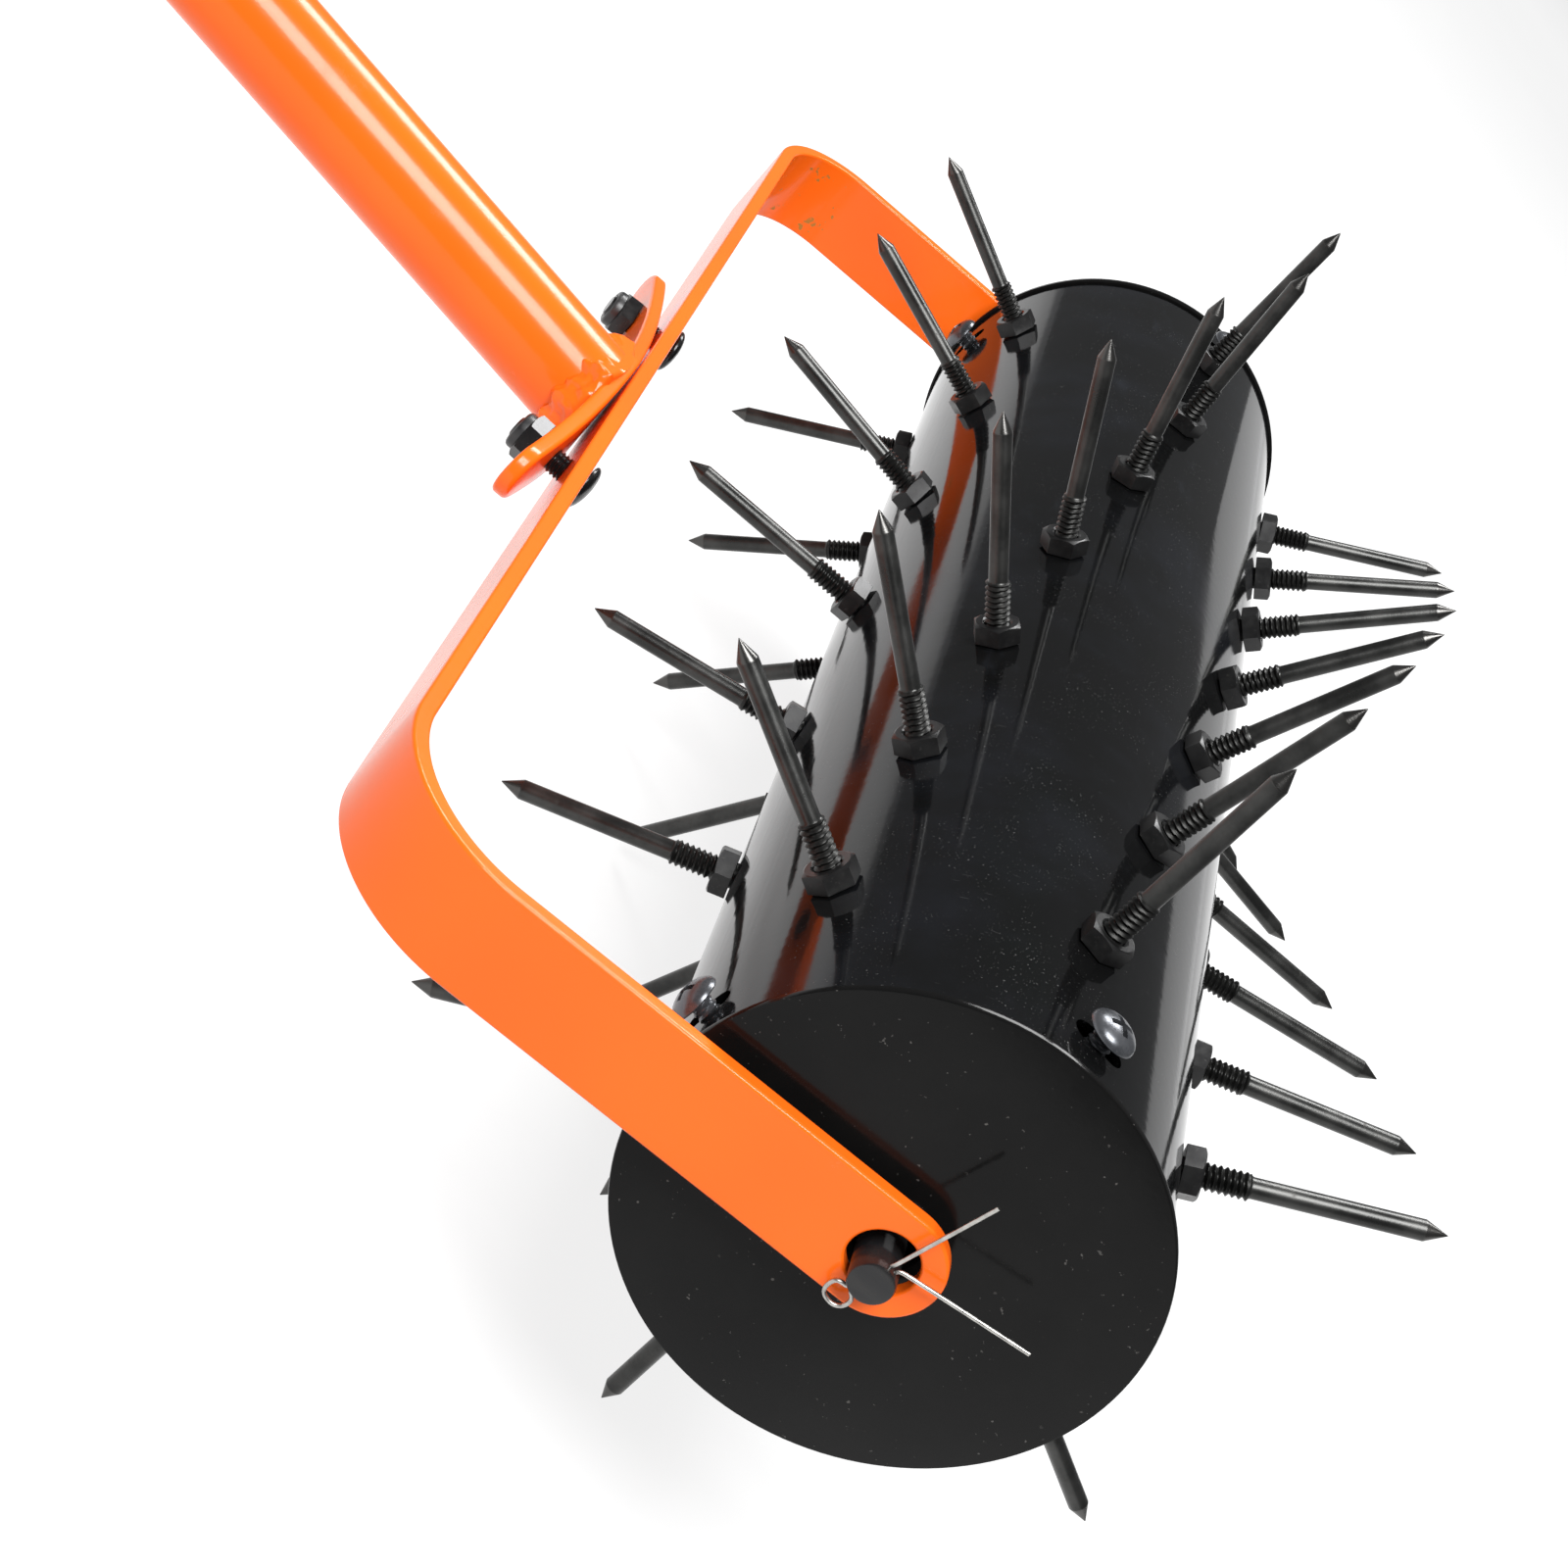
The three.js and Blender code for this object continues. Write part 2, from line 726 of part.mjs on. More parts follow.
// The origin lies under the middle of the object, on the ground
aerator.updateMatrixWorld(true);
const bounds = new THREE.Box3().setFromObject(aerator, true);
aerator.position.x = -(bounds.min.x + bounds.max.x) / 2;
aerator.position.y = -(bounds.min.y + bounds.max.y) / 2;
aerator.position.z = -bounds.min.z;
aerator.updateMatrixWorld(true);

export default aerator;
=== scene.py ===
import bpy
import bmesh
import json
from math import pi, sin, cos, tan, radians, degrees, sqrt, hypot, acos, atan2
from mathutils import Matrix, Vector, noise


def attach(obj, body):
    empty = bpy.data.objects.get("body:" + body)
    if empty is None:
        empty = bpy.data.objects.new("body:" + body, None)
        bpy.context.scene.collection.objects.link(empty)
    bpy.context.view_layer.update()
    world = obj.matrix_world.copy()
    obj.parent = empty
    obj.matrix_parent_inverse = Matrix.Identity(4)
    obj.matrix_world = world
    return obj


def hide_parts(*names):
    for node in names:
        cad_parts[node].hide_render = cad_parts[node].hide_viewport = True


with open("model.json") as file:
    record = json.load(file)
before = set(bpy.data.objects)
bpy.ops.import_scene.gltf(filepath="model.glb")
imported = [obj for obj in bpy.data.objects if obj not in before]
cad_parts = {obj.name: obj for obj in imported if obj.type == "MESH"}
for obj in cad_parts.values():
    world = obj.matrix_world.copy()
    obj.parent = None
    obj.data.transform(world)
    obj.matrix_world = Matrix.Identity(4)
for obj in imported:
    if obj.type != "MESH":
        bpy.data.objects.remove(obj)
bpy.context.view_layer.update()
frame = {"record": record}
mm = 0.001
pole = 0.02  # radius in millimetres where a turned piece meets its axis
gap = 0.3  # room in millimetres between seated pieces
overrun = 5  # how far a cutter reaches past a surface
crease = 32  # edges sharper than this many degrees stay hard, unless a piece has its own limit

# The yoke's own frame: X along its arms to the bar, Y along the axle, Z across the bar
hinge = frame["record"]["behaviour"]["joints"][0]
armAxis = Vector(next(m for m in frame["record"]["mounts"] if m["name"] == "bar_face_near")["axis"])
armAxis.normalize()
crossAxis = armAxis.cross(Vector((0, 1, 0)))
yokeFrame = Matrix((armAxis, Vector((0, 1, 0)), crossAxis)).transposed().to_4x4()
yokeFrame.translation = Vector(hinge["pos_m"])


def turned(angle):
    return Matrix.Rotation(-radians(angle), 4, "Y")


def shifted(x=0.0, y=0.0, z=0.0):
    return Matrix.Translation(Vector((x, y, z)) * mm)


# Mesh helpers

def smoothFaces(bm, limit):
    bmesh.ops.remove_doubles(bm, verts=bm.verts, dist=1e-7)
    bmesh.ops.recalc_face_normals(bm, faces=bm.faces)
    for edge in bm.edges:
        edge.smooth = len(edge.link_faces) == 2 and edge.calc_face_angle(0) < radians(limit)
    for face in bm.faces:
        face.smooth = True


def linked(name, data, place=Matrix()):
    item = bpy.data.objects.new(name, data)
    bpy.context.scene.collection.objects.link(item)
    item.matrix_world = place
    return item


def pieceFrom(name, bm, place=Matrix(), smooth=crease):
    smoothFaces(bm, smooth)
    mesh = bpy.data.meshes.new(name)
    bm.to_mesh(mesh)
    bm.free()
    return linked(name, mesh, place)


def skinRings(rings, caps=True, closed=False):
    # joins rings of points, given in millimetres, into one surface
    bm = bmesh.new()
    loops = [[bm.verts.new(Vector(p) * mm) for p in ring] for ring in rings]
    if closed:
        loops.append(loops[0])
    for a, b in zip(loops, loops[1:]):
        n = len(a)
        for i in range(n):
            bm.faces.new((a[i], a[(i + 1) % n], b[(i + 1) % n], b[i]))
    if caps:
        bm.faces.new(list(reversed(loops[0])))
        bm.faces.new(loops[-1])
    return bm


def closeRings(rings):
    # the last ring joins the first, as in a tube bent to a loop
    return skinRings(rings, caps=False, closed=True)


def ringAt(x, radius, sides):
    return [(x, radius * cos(2 * pi * i / sides), radius * sin(2 * pi * i / sides)) for i in range(sides)]


def turnedPiece(profile, sides):
    # profile of radius and distance pairs turned round X, from axis to axis
    return skinRings([ringAt(x, max(r, pole), sides) for r, x in profile])


def hollowTurn(profile, sides):
    # a closed profile turned round X
    return closeRings([ringAt(x, r, sides) for r, x in profile])


def prism(outline, low, high):
    # outline of X and Y pairs pushed along Z
    return skinRings([[(x, y, low) for x, y in outline], [(x, y, high) for x, y in outline]])


def addTo(bm, other):
    # puts a second mesh into the first
    mesh = bpy.data.meshes.new("added")
    other.to_mesh(mesh)
    other.free()
    bm.from_mesh(mesh)
    bpy.data.meshes.remove(mesh)


def arc(cx, cy, radius, start, end, steps):
    angles = [radians(start + (end - start) * i / steps) for i in range(steps + 1)]
    return [(cx + radius * cos(a), cy + radius * sin(a)) for a in angles]


thread = {"perTurn": 6, "slope": 1.25, "flat": 0.12, "runOut": 0.5, "runOutShare": 0.35}


def threadRings(start, end, radius, pitch, depth, sides):
    # a thread along X that grows shallow in the last half turn at each end
    steps = int((end - start) / pitch * thread["perTurn"])
    rings = []
    for k in range(steps + 1):
        x = start + (end - start) * k / steps
        full = min(1, (x - start) / (thread["runOut"] * pitch), (end - x) / (thread["runOut"] * pitch))
        reach = depth * (thread["runOutShare"] + (1 - thread["runOutShare"]) * max(0, full))
        ring = []
        for i in range(sides):
            crest = abs(2 * ((x / pitch - i / sides) % 1) - 1)
            r = radius - reach * min(1, max(0, thread["slope"] * crest - thread["flat"]))
            ring.append((x, r * cos(2 * pi * i / sides), r * sin(2 * pi * i / sides)))
        rings.append(ring)
    return rings


def combine(piece, cutter, how="DIFFERENCE"):
    cut = piece.modifiers.new("cut", "BOOLEAN")
    cut.object, cut.operation, cut.solver = cutter, how, "EXACT"
    settle(piece)
    bpy.data.objects.remove(cutter)


def settle(piece):
    graph = bpy.context.evaluated_depsgraph_get()
    mesh = bpy.data.meshes.new_from_object(piece.evaluated_get(graph))
    piece.modifiers.clear()
    piece.data = mesh


def shadeEdges(piece, limit):
    bm = bmesh.new()
    bm.from_mesh(piece.data)
    smoothFaces(bm, limit)
    bm.to_mesh(piece.data)
    bm.free()


def easeEdges(piece, width, segments, limit):
    bevel = piece.modifiers.new("ease", "BEVEL")
    bevel.width, bevel.segments, bevel.angle_limit = width * mm, segments, radians(limit)
    settle(piece)
    shadeEdges(piece, crease)
    piece.modifiers.new("flat faces", "WEIGHTED_NORMAL").keep_sharp = True
    settle(piece)


def finishPiece(piece, node, body, material):
    # node is the CAD piece that this one stands in for, or None
    piece.data.materials.clear()
    piece.data.materials.append(material)
    if node:
        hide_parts(node)
    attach(piece, body)


# Shader helpers

class Flow:
    # a socket that takes part in sums
    def __init__(self, shader, socket):
        self.shader, self.socket = shader, socket

    def maths(self, operation, first, second):
        return self.shader.add("ShaderNodeMath", {"operation": operation}, {0: first, 1: second})

    def __add__(self, other):
        return self.maths("ADD", self, other)

    def __radd__(self, other):
        return self.maths("ADD", other, self)

    def __sub__(self, other):
        return self.maths("SUBTRACT", self, other)

    def __rsub__(self, other):
        return self.maths("SUBTRACT", other, self)

    def __mul__(self, other):
        return self.maths("MULTIPLY", self, other)

    def __rmul__(self, other):
        return self.maths("MULTIPLY", other, self)

    def __pow__(self, other):
        return self.maths("POWER", self, other)

    def __rpow__(self, other):
        return self.maths("POWER", other, self)

    def __gt__(self, other):
        return self.maths("GREATER_THAN", self, other)

    def __lt__(self, other):
        return self.maths("LESS_THAN", self, other)

    def most(self, other):
        return self.maths("MAXIMUM", self, other)

    def ramp(self, low, high):
        return self.shader.add("ShaderNodeMapRange", {"interpolation_type": "SMOOTHSTEP"},
                               {"Value": self, "From Min": low, "From Max": high}, "Result")


class Finish:
    # a material whose shader is worked out from sums of sockets
    def __init__(self, name, **constants):
        self.material = bpy.data.materials.new(name)
        self.material.use_nodes = True
        self.tree = self.material.node_tree
        self.shader = self.tree.nodes["Principled BSDF"]
        for socket, value in constants.items():
            self.shader.inputs[socket.replace("_", " ")].default_value = value

    def add(self, kind, settings, inputs, output=0):
        # the settings first, then each socket's value or link
        node = self.tree.nodes.new(kind)
        for key, value in settings.items():
            setattr(node, key, value)
        for key, value in inputs.items():
            if isinstance(value, Flow):
                self.tree.links.new(value.socket, node.inputs[key])
            else:
                node.inputs[key].default_value = value
        return Flow(self, node.outputs[output])

    def place(self):
        return self.add("ShaderNodeTexCoord", {}, {}, "Object")

    def axis(self, which):
        return self.add("ShaderNodeSeparateXYZ", {}, {0: self.place()}, which)

    def grain(self, scale, detail, rough=0.5, stretch=(1, 1, 1), shift=(0, 0, 0)):
        spot = self.add("ShaderNodeMapping", {},
                        {"Vector": self.place(), "Scale": stretch, "Location": shift})
        return self.add("ShaderNodeTexNoise", {},
                        {"Vector": spot, "Scale": scale, "Detail": detail, "Roughness": rough}, "Fac")

    def blend(self, share, first, second):
        return self.add("ShaderNodeMix", {"data_type": "RGBA"},
                        {0: share, 6: first if isinstance(first, Flow) else (*first, 1),
                         7: second if isinstance(second, Flow) else (*second, 1)}, 2)

    def layers(self, colour, *coats):
        # each coat is a mask, its strength and its colour
        for mask, (share, tint) in coats:
            colour = self.blend(mask * share, colour, tint)
        return colour

    def relief(self, height, strength, distance):
        return self.add("ShaderNodeBump", {},
                        {"Height": height, "Strength": strength, "Distance": distance})

    def wire(self, **sockets):
        for name, value in sockets.items():
            self.tree.links.new(value.socket, self.shader.inputs[name.replace("_", " ")])
        return self.material


# Finishes

# a pair in a look is a layer's strength and its colour
def makeOrangePaint(name, chipBox=None):
    look = {"paint": (0.92, 0.138, 0.0075), "deep": (0.88, 0.118, 0.006),
            "dirt": (0.08, (0.35, 0.12, 0.05)), "primer": (0.85, (0.27, 0.155, 0.03)),
            "rough": 0.19, "coat": 0.12}
    finish = Finish(name, Coat_Roughness=0.05, Specular_IOR_Level=0.22)
    tone = finish.grain(14, 2).ramp(0.3, 0.7)
    peel = finish.grain(420, 2)
    dirt = finish.grain(70, 6, 0.7).ramp(0.60, 0.75)
    chips = finish.grain(210, 1, shift=(2, 5, 3)).ramp(0.85, 0.86)
    if chipBox:
        # more paint is knocked off inside the box
        inside = 1.0
        for axis, (low, high) in zip("XYZ", chipBox):
            spot = finish.axis(axis)
            inside = inside * (spot > low) * (spot < high)
        chips = (finish.grain(220, 3, 0.6, shift=(3, 1, 7)).ramp(0.60, 0.64) * inside).most(chips)
    colour = finish.blend(tone, look["paint"], look["deep"])
    colour = finish.layers(colour, (dirt, look["dirt"]), (chips, look["primer"]))
    rough = look["rough"] + tone * 0.04 + dirt * 0.1 + chips * 0.35
    return finish.wire(Base_Color=colour, Roughness=rough, Coat_Weight=look["coat"] - chips * look["coat"],
                       Normal=finish.relief(peel - chips * 0.8, 0.10, 0.0003))


def makeGlossBlack():
    look = {"dark": (0.0034, 0.0035, 0.0036), "pale": (0.0058, 0.0064, 0.0080),
            "rub": (0.5, (0.024, 0.028, 0.036)), "hair": (0.12, (0.12, 0.12, 0.12)),
            "dust": (0.25, (0.25, 0.25, 0.24)), "rough": 0.07}
    finish = Finish("glossBlack", Specular_IOR_Level=0.15)
    film = finish.grain(26, 4, 0.6).ramp(0.42, 0.75)
    rub = finish.grain(55, 4, 0.7, stretch=(1, 0.35, 1)).ramp(0.58, 0.85)
    dust = finish.grain(2400, 2, 0.5).ramp(0.69, 0.73) * finish.grain(60, 2).ramp(0.40, 0.6)
    hair = finish.grain(190, 2, 0.6, stretch=(1, 9, 1), shift=(4, 1, 1)).ramp(0.735, 0.75)
    colour = finish.blend(film, look["dark"], look["pale"])
    colour = finish.layers(colour, (rub, look["rub"]), (hair, look["hair"]), (dust, look["dust"]))
    rough = look["rough"] + film * 0.05 + rub * 0.07 + dust * 0.3
    return finish.wire(Base_Color=colour, Roughness=rough,
                       Normal=finish.relief(finish.grain(380, 2), 0.04, 0.0003))


def makeSatinBlack():
    look = {"dark": (0.0040, 0.0040, 0.0040), "pale": (0.0062, 0.0061, 0.0060),
            "dust": (0.35, (0.20, 0.19, 0.18)), "scratch": (0.2, (0.08, 0.08, 0.08)), "rough": 0.10}
    finish = Finish("satinBlack", Specular_IOR_Level=0.12)
    film = finish.grain(30, 5, 0.65).ramp(0.3, 0.75)
    dust = finish.grain(900, 2, 0.5).ramp(0.71, 0.75) * finish.grain(70, 2).ramp(0.42, 0.6)
    scratch = finish.grain(260, 3, 0.6, stretch=(1, 1, 14)).ramp(0.76, 0.79)
    colour = finish.blend(film, look["dark"], look["pale"])
    colour = finish.layers(colour, (dust, look["dust"]), (scratch, look["scratch"]))
    rough = look["rough"] + film * 0.08 + dust * 0.3
    return finish.wire(Base_Color=colour, Roughness=rough,
                       Normal=finish.relief(finish.grain(900, 2), 0.05, 0.0002))


def makeSpikeSteel():
    # thread and cone are told apart by their distance from the drum's axis, in metres
    look = {"dark": (0.034, 0.0345, 0.0335), "pale": (0.060, 0.060, 0.058),
            "rust": (0.2, (0.050, 0.040, 0.032)), "thread": (0.75, (0.014, 0.014, 0.0135)),
            "ground": (0.8, (0.085, 0.083, 0.080)), "threadEnd": 0.0638, "groundStart": (0.0971, 0.0976),
            "rough": 0.27, "metal": 0.85}
    finish = Finish("spikeSteel")
    ground = finish.axis("X").ramp(*look["groundStart"])
    thread = finish.axis("X") < look["threadEnd"]
    tone = finish.grain(120, 4, 0.6).ramp(0.3, 0.7)
    rust = finish.grain(400, 4, 0.7, shift=(5, 2, 1)).ramp(0.60, 0.78)
    turning = finish.grain(900, 2, 0.5, stretch=(8, 1, 1))
    colour = finish.blend(tone, look["dark"], look["pale"])
    colour = finish.layers(colour, (rust, look["rust"]), (thread, look["thread"]), (ground, look["ground"]))
    rough = look["rough"] + tone * 0.10 + rust * 0.2 - ground * 0.04 + thread * 0.1
    return finish.wire(Base_Color=colour, Roughness=rough, Metallic=look["metal"] + ground * 0.1,
                       Normal=finish.relief(turning, 0.12, 0.0002))


def makeBlackSteel(name, rough, dark, pale):
    look = {"wear": (0.3, (0.06, 0.056, 0.05)), "metal": 0.7}
    finish = Finish(name, Specular_IOR_Level=0.5)
    tone = finish.grain(300, 4, 0.6).ramp(0.3, 0.7)
    wear = finish.grain(800, 3, 0.6, shift=(1, 4, 2)).ramp(0.62, 0.75)
    colour = finish.layers(finish.blend(tone, dark, pale), (wear, look["wear"]))
    return finish.wire(Base_Color=colour, Roughness=rough + tone * 0.08 + wear * 0.2,
                       Metallic=look["metal"] - wear * 0.2,
                       Normal=finish.relief(finish.grain(1200, 2), 0.03, 0.0002))


def makeZinc():
    look = {"dark": (0.36, 0.35, 0.33), "pale": (0.56, 0.55, 0.52), "rough": 0.26}
    finish = Finish("zincSteel", Metallic=1.0)
    tone = finish.grain(500, 4, 0.6).ramp(0.3, 0.7)
    return finish.wire(Base_Color=finish.blend(tone, look["dark"], look["pale"]),
                       Roughness=look["rough"] + tone * 0.14,
                       Normal=finish.relief(finish.grain(900, 2), 0.02, 0.0002))


def makeAxleSteel():
    look = {"dark": (0.008, 0.008, 0.009), "pale": (0.017, 0.0165, 0.016),
            "wear": (0.4, (0.04, 0.034, 0.028)), "rough": 0.16}
    finish = Finish("axleSteel", Specular_IOR_Level=0.4)
    tone = finish.grain(200, 4, 0.6, stretch=(1, 0.2, 1)).ramp(0.3, 0.7)
    wear = finish.grain(350, 5, 0.7).ramp(0.6, 0.75)
    colour = finish.layers(finish.blend(tone, look["dark"], look["pale"]), (wear, look["wear"]))
    return finish.wire(Base_Color=colour, Roughness=look["rough"] + tone * 0.08 + wear * 0.2,
                       Normal=finish.relief(finish.grain(900, 3), 0.1, 0.0002))


def makeNylon():
    look = {"dark": (0.008, 0.008, 0.009), "pale": (0.018, 0.018, 0.019), "rough": 0.30}
    finish = Finish("nutNylon")
    tone = finish.grain(600, 3).ramp(0.3, 0.7)
    return finish.wire(Base_Color=finish.blend(tone, look["dark"], look["pale"]),
                       Roughness=look["rough"] + tone * 0.1)


def makeRubber():
    look = {"dark": (0.010, 0.010, 0.010), "pale": (0.022, 0.021, 0.020), "rough": 0.62}
    finish = Finish("gripRubber")
    tone = finish.grain(150, 4, 0.6).ramp(0.3, 0.7)
    return finish.wire(Base_Color=finish.blend(tone, look["dark"], look["pale"]),
                       Roughness=look["rough"] + tone * 0.12,
                       Normal=finish.relief(finish.grain(2200, 2), 0.25, 0.0003))


farBendInside = ((0.1, 0.1215), (0.176, 0.2075), (-0.011, 0.011))  # metres in the yoke's own frame
orangePaint = makeOrangePaint("orangePaint")
chippedPaint = makeOrangePaint("chippedPaint", farBendInside)
glossBlack, satinBlack, spikeSteel = makeGlossBlack(), makeSatinBlack(), makeSpikeSteel()
boltSteel = makeBlackSteel("boltSteel", 0.18, (0.022, 0.022, 0.023), (0.032, 0.032, 0.032))
nutSteel = makeBlackSteel("nutSteel", 0.29, (0.019, 0.019, 0.0195), (0.029, 0.029, 0.029))
screwSteel = makeBlackSteel("screwSteel", 0.24, (0.085, 0.090, 0.100), (0.130, 0.135, 0.145))
zincSteel, axleSteel, nutNylon, gripRubber = makeZinc(), makeAxleSteel(), makeNylon(), makeRubber()
print("finishes made")

# Drum

drum = {"length": 393.8, "radius": 50, "wall": 1.5, "edge": 0.35, "sides": 160, "phase": -30.6,
        "nearDisc": 51.6, "farDisc": 50.9, "discThickness": 2, "discGap": 1.5, "discHole": 6.9,
        "discEdge": 0.5, "discCorner": 0.15, "discDish": 0.1, "discSides": 128, "crease": 30}
rollerLength = drum["length"] + 2 * (drum["discGap"] + drum["discThickness"])
nearEnd, farEnd = -rollerLength / 2, rollerLength / 2
rollerFrame = yokeFrame @ turned(drum["phase"])
alongY = Matrix.Rotation(pi / 2, 4, "Z")  # sends X to Y

tabs = {"width": 16, "length": 24, "thickness": 2, "clearance": 0.42, "bend": 3, "bendRise": 1,
        "bendTurn": -80}
tabFace = sqrt((drum["radius"] - drum["wall"] - tabs["clearance"]) ** 2 - (tabs["width"] / 2) ** 2)

# a recess row is the height above the head's foot, then half the length and width of the cut
screws = {"first": -64.5, "count": 4, "inset": 15, "radius": 2.5, "tail": 4, "point": 0.6, "pitch": 1.25,
          "threadDepth": 0.5, "threadStart": 0.1, "threadEnd": 0.2, "lift": 2.7, "headRadius": 5.2,
          "headHeight": 3.1, "brim": 0.2, "brimHeight": 0.25, "recess": ((0.4, 1.4, 0.45), (4.0, 3.4, 0.7)),
          "spin": 23, "spinStep": 40, "slotTravel": 3, "sides": 40, "crease": 30}
screwAngles = [screws["first"] + 360 / screws["count"] * i for i in range(screws["count"])]
screwPlaces = {"Near": nearEnd + screws["inset"], "Far": farEnd - screws["inset"]}


def makeShell():
    half, edge = drum["length"] / 2, drum["edge"]
    outer, inner = drum["radius"], drum["radius"] - drum["wall"]
    profile = [(inner, -half + edge), (inner + edge, -half), (outer - edge, -half), (outer, -half + edge),
               (outer, half - edge), (outer - edge, half), (inner + edge, half), (inner, half - edge)]
    shell = pieceFrom("drumShell", hollowTurn(profile, drum["sides"]))
    shell.data.transform(alongY)
    reach, slotHalf = screws["slotTravel"], screws["radius"] + gap
    outline = arc(reach, 0, slotHalf, -90, 90, 8) + arc(-reach, 0, slotHalf, 90, 270, 8)
    outward = Matrix(((0, 0, 1), (0, 1, 0), (1, 0, 0))).to_4x4()  # sends Z outward and X round the drum
    slots = bmesh.new()
    for along in screwPlaces.values():
        for angle in screwAngles:
            slot = prism(outline, outer - overrun, outer + overrun)
            slot.transform(turned(angle) @ shifted(y=along) @ outward)
            addTo(slots, slot)
    combine(shell, pieceFrom("slots", slots))
    shadeEdges(shell, drum["crease"])
    shell.matrix_world = rollerFrame
    finishPiece(shell, "drum_shell", "roller", glossBlack)


def makeDisc(end, outer, inward):
    # a flat disc with bent tabs; inward is the way from its outer face into the drum
    face, hole, thick = -inward * rollerLength / 2, drum["discHole"], drum["discThickness"]
    edge, corner = drum["discEdge"], drum["discCorner"]
    profile = [(hole, drum["discDish"]), (outer - edge, 0), (outer - corner, corner), (outer, edge),
               (outer, thick - edge), (outer - edge, thick), (hole, thick)]
    disc = hollowTurn([(r, face + inward * x) for r, x in profile], drum["discSides"])
    disc.transform(alongY)
    centre, inner = (tabFace - tabs["bend"], thick + tabs["bendRise"]), tabFace - tabs["thickness"]
    outline = arc(*centre, tabs["bend"], 0, tabs["bendTurn"], 6)
    outline += [centre, (inner, centre[1]), (inner, tabs["length"]), (tabFace, tabs["length"])]
    for angle in screwAngles:
        tab = prism([(x, face + inward * y) for x, y in outline], -tabs["width"] / 2, tabs["width"] / 2)
        tab.transform(turned(angle))
        addTo(disc, tab)
    finishPiece(pieceFrom(f"endDisc{end.title()}", disc, rollerFrame), f"end_disc_{end}", "roller",
                satinBlack)


def oblong(x, long, wide):
    return [(x, -long, -wide), (x, long, -wide), (x, long, wide), (x, -long, wide)]


def makeScrews():
    # truss heads with a cross recess, along +X
    radius, head, high, sides = screws["radius"], screws["headRadius"], screws["headHeight"], screws["sides"]
    start, base = tabFace - tabs["thickness"] - screws["tail"], drum["radius"] + screws["lift"]
    rise, dome = base + screws["brimHeight"], high - screws["brimHeight"]
    rings = [ringAt(start, pole, sides), ringAt(start, radius - screws["point"], sides)]
    rings += threadRings(start + screws["threadStart"], base - screws["threadEnd"], radius, screws["pitch"],
                         screws["threadDepth"], sides)
    profile = [(radius, base), (head - screws["brim"], base), (head, rise)]
    profile += [(head * sin(radians(a)), rise + dome * cos(radians(a))) for a in range(80, 0, -10)]
    profile.append((pole, base + high))
    screw = pieceFrom("screw", skinRings(rings + [ringAt(x, r, sides) for r, x in profile]))
    for turn in (0, 90):
        arm = skinRings([oblong(base + x, long, wide) for x, long, wide in screws["recess"]])
        arm.transform(Matrix.Rotation(radians(turn), 4, "X"))
        combine(screw, pieceFrom("recess", arm))
    shadeEdges(screw, screws["crease"])
    for end, along in screwPlaces.items():
        for i, angle in enumerate(screwAngles):
            spin = Matrix.Rotation(radians(screws["spin"] + screws["spinStep"] * i), 4, "X")
            own = linked(f"trussScrew{end}{i + 1}", screw.data.copy(),
                         rollerFrame @ turned(angle) @ shifted(y=along) @ spin)
            finishPiece(own, None, "roller", screwSteel)
    bpy.data.objects.remove(screw)


makeShell()
makeDisc("near", drum["nearDisc"], 1)
makeDisc("far", drum["farDisc"], -1)
makeScrews()
print("drum made")

# Spikes

# distances along a spike are counted from the drum's axis
spike = {"rows": 6, "perRow": 7, "nearInset": 44, "farInset": 35, "twist": -10,
         "stray": {(0, 4): -3, (0, 5): -5, (1, 6): 3}, "tail": 4, "tailEdge": (0.3, 0.4), "stud": 2.8,
         "shoulder": 63.8, "shoulderEdge": (0.12, 0.35), "shaft": 2.15, "cone": 4.4, "coneEdge": 0.15,
         "coneShare": 0.95, "tip": 101.8, "tipEnds": ((0.24, 0.35), (0.12, 0.08)), "sides": 20,
         "threadPitch": 1.27, "threadDepth": 0.62, "threadStart": 1.0, "threadEnd": 0.3, "plainEnd": 1.2,
         "nutFlats": 9.6, "nutHeight": 4.2, "nutPlay": 0.02, "spin": 6.28, "crease": 38}
nutShape = {"sides": 48, "crownShare": 0.95, "drop": 28, "footEdge": 0.12, "mouth": 0.5, "mouthDepth": 0.4,
            "crease": 26}


def nutRings(flats, bore, low, high):
    # a hexagon with a chamfered crown, from its lower face to its upper one
    crown, edge, sides = flats / 2 * nutShape["crownShare"], nutShape["footEdge"], nutShape["sides"]
    slope = tan(radians(nutShape["drop"]))

    def side(angle):
        part = (angle + pi / 6) % (pi / 3) - pi / 6
        return flats / 2 / cos(part)

    def ring(radiusOf, heightOf):
        points = []
        for i in range(sides):
            a = 2 * pi * i / sides
            r = radiusOf(a)
            points.append((heightOf(r), r * cos(a), r * sin(a)))
        return points
    return [ring(lambda a: bore, lambda r: low),
            ring(lambda a: side(a) - edge, lambda r: low),
            ring(side, lambda r: low + edge),
            ring(side, lambda r: high - (r - crown) * slope),
            ring(lambda a: crown, lambda r: high),
            ring(lambda a: bore + nutShape["mouth"], lambda r: high),
            ring(lambda a: bore, lambda r: high - nutShape["mouthDepth"])]


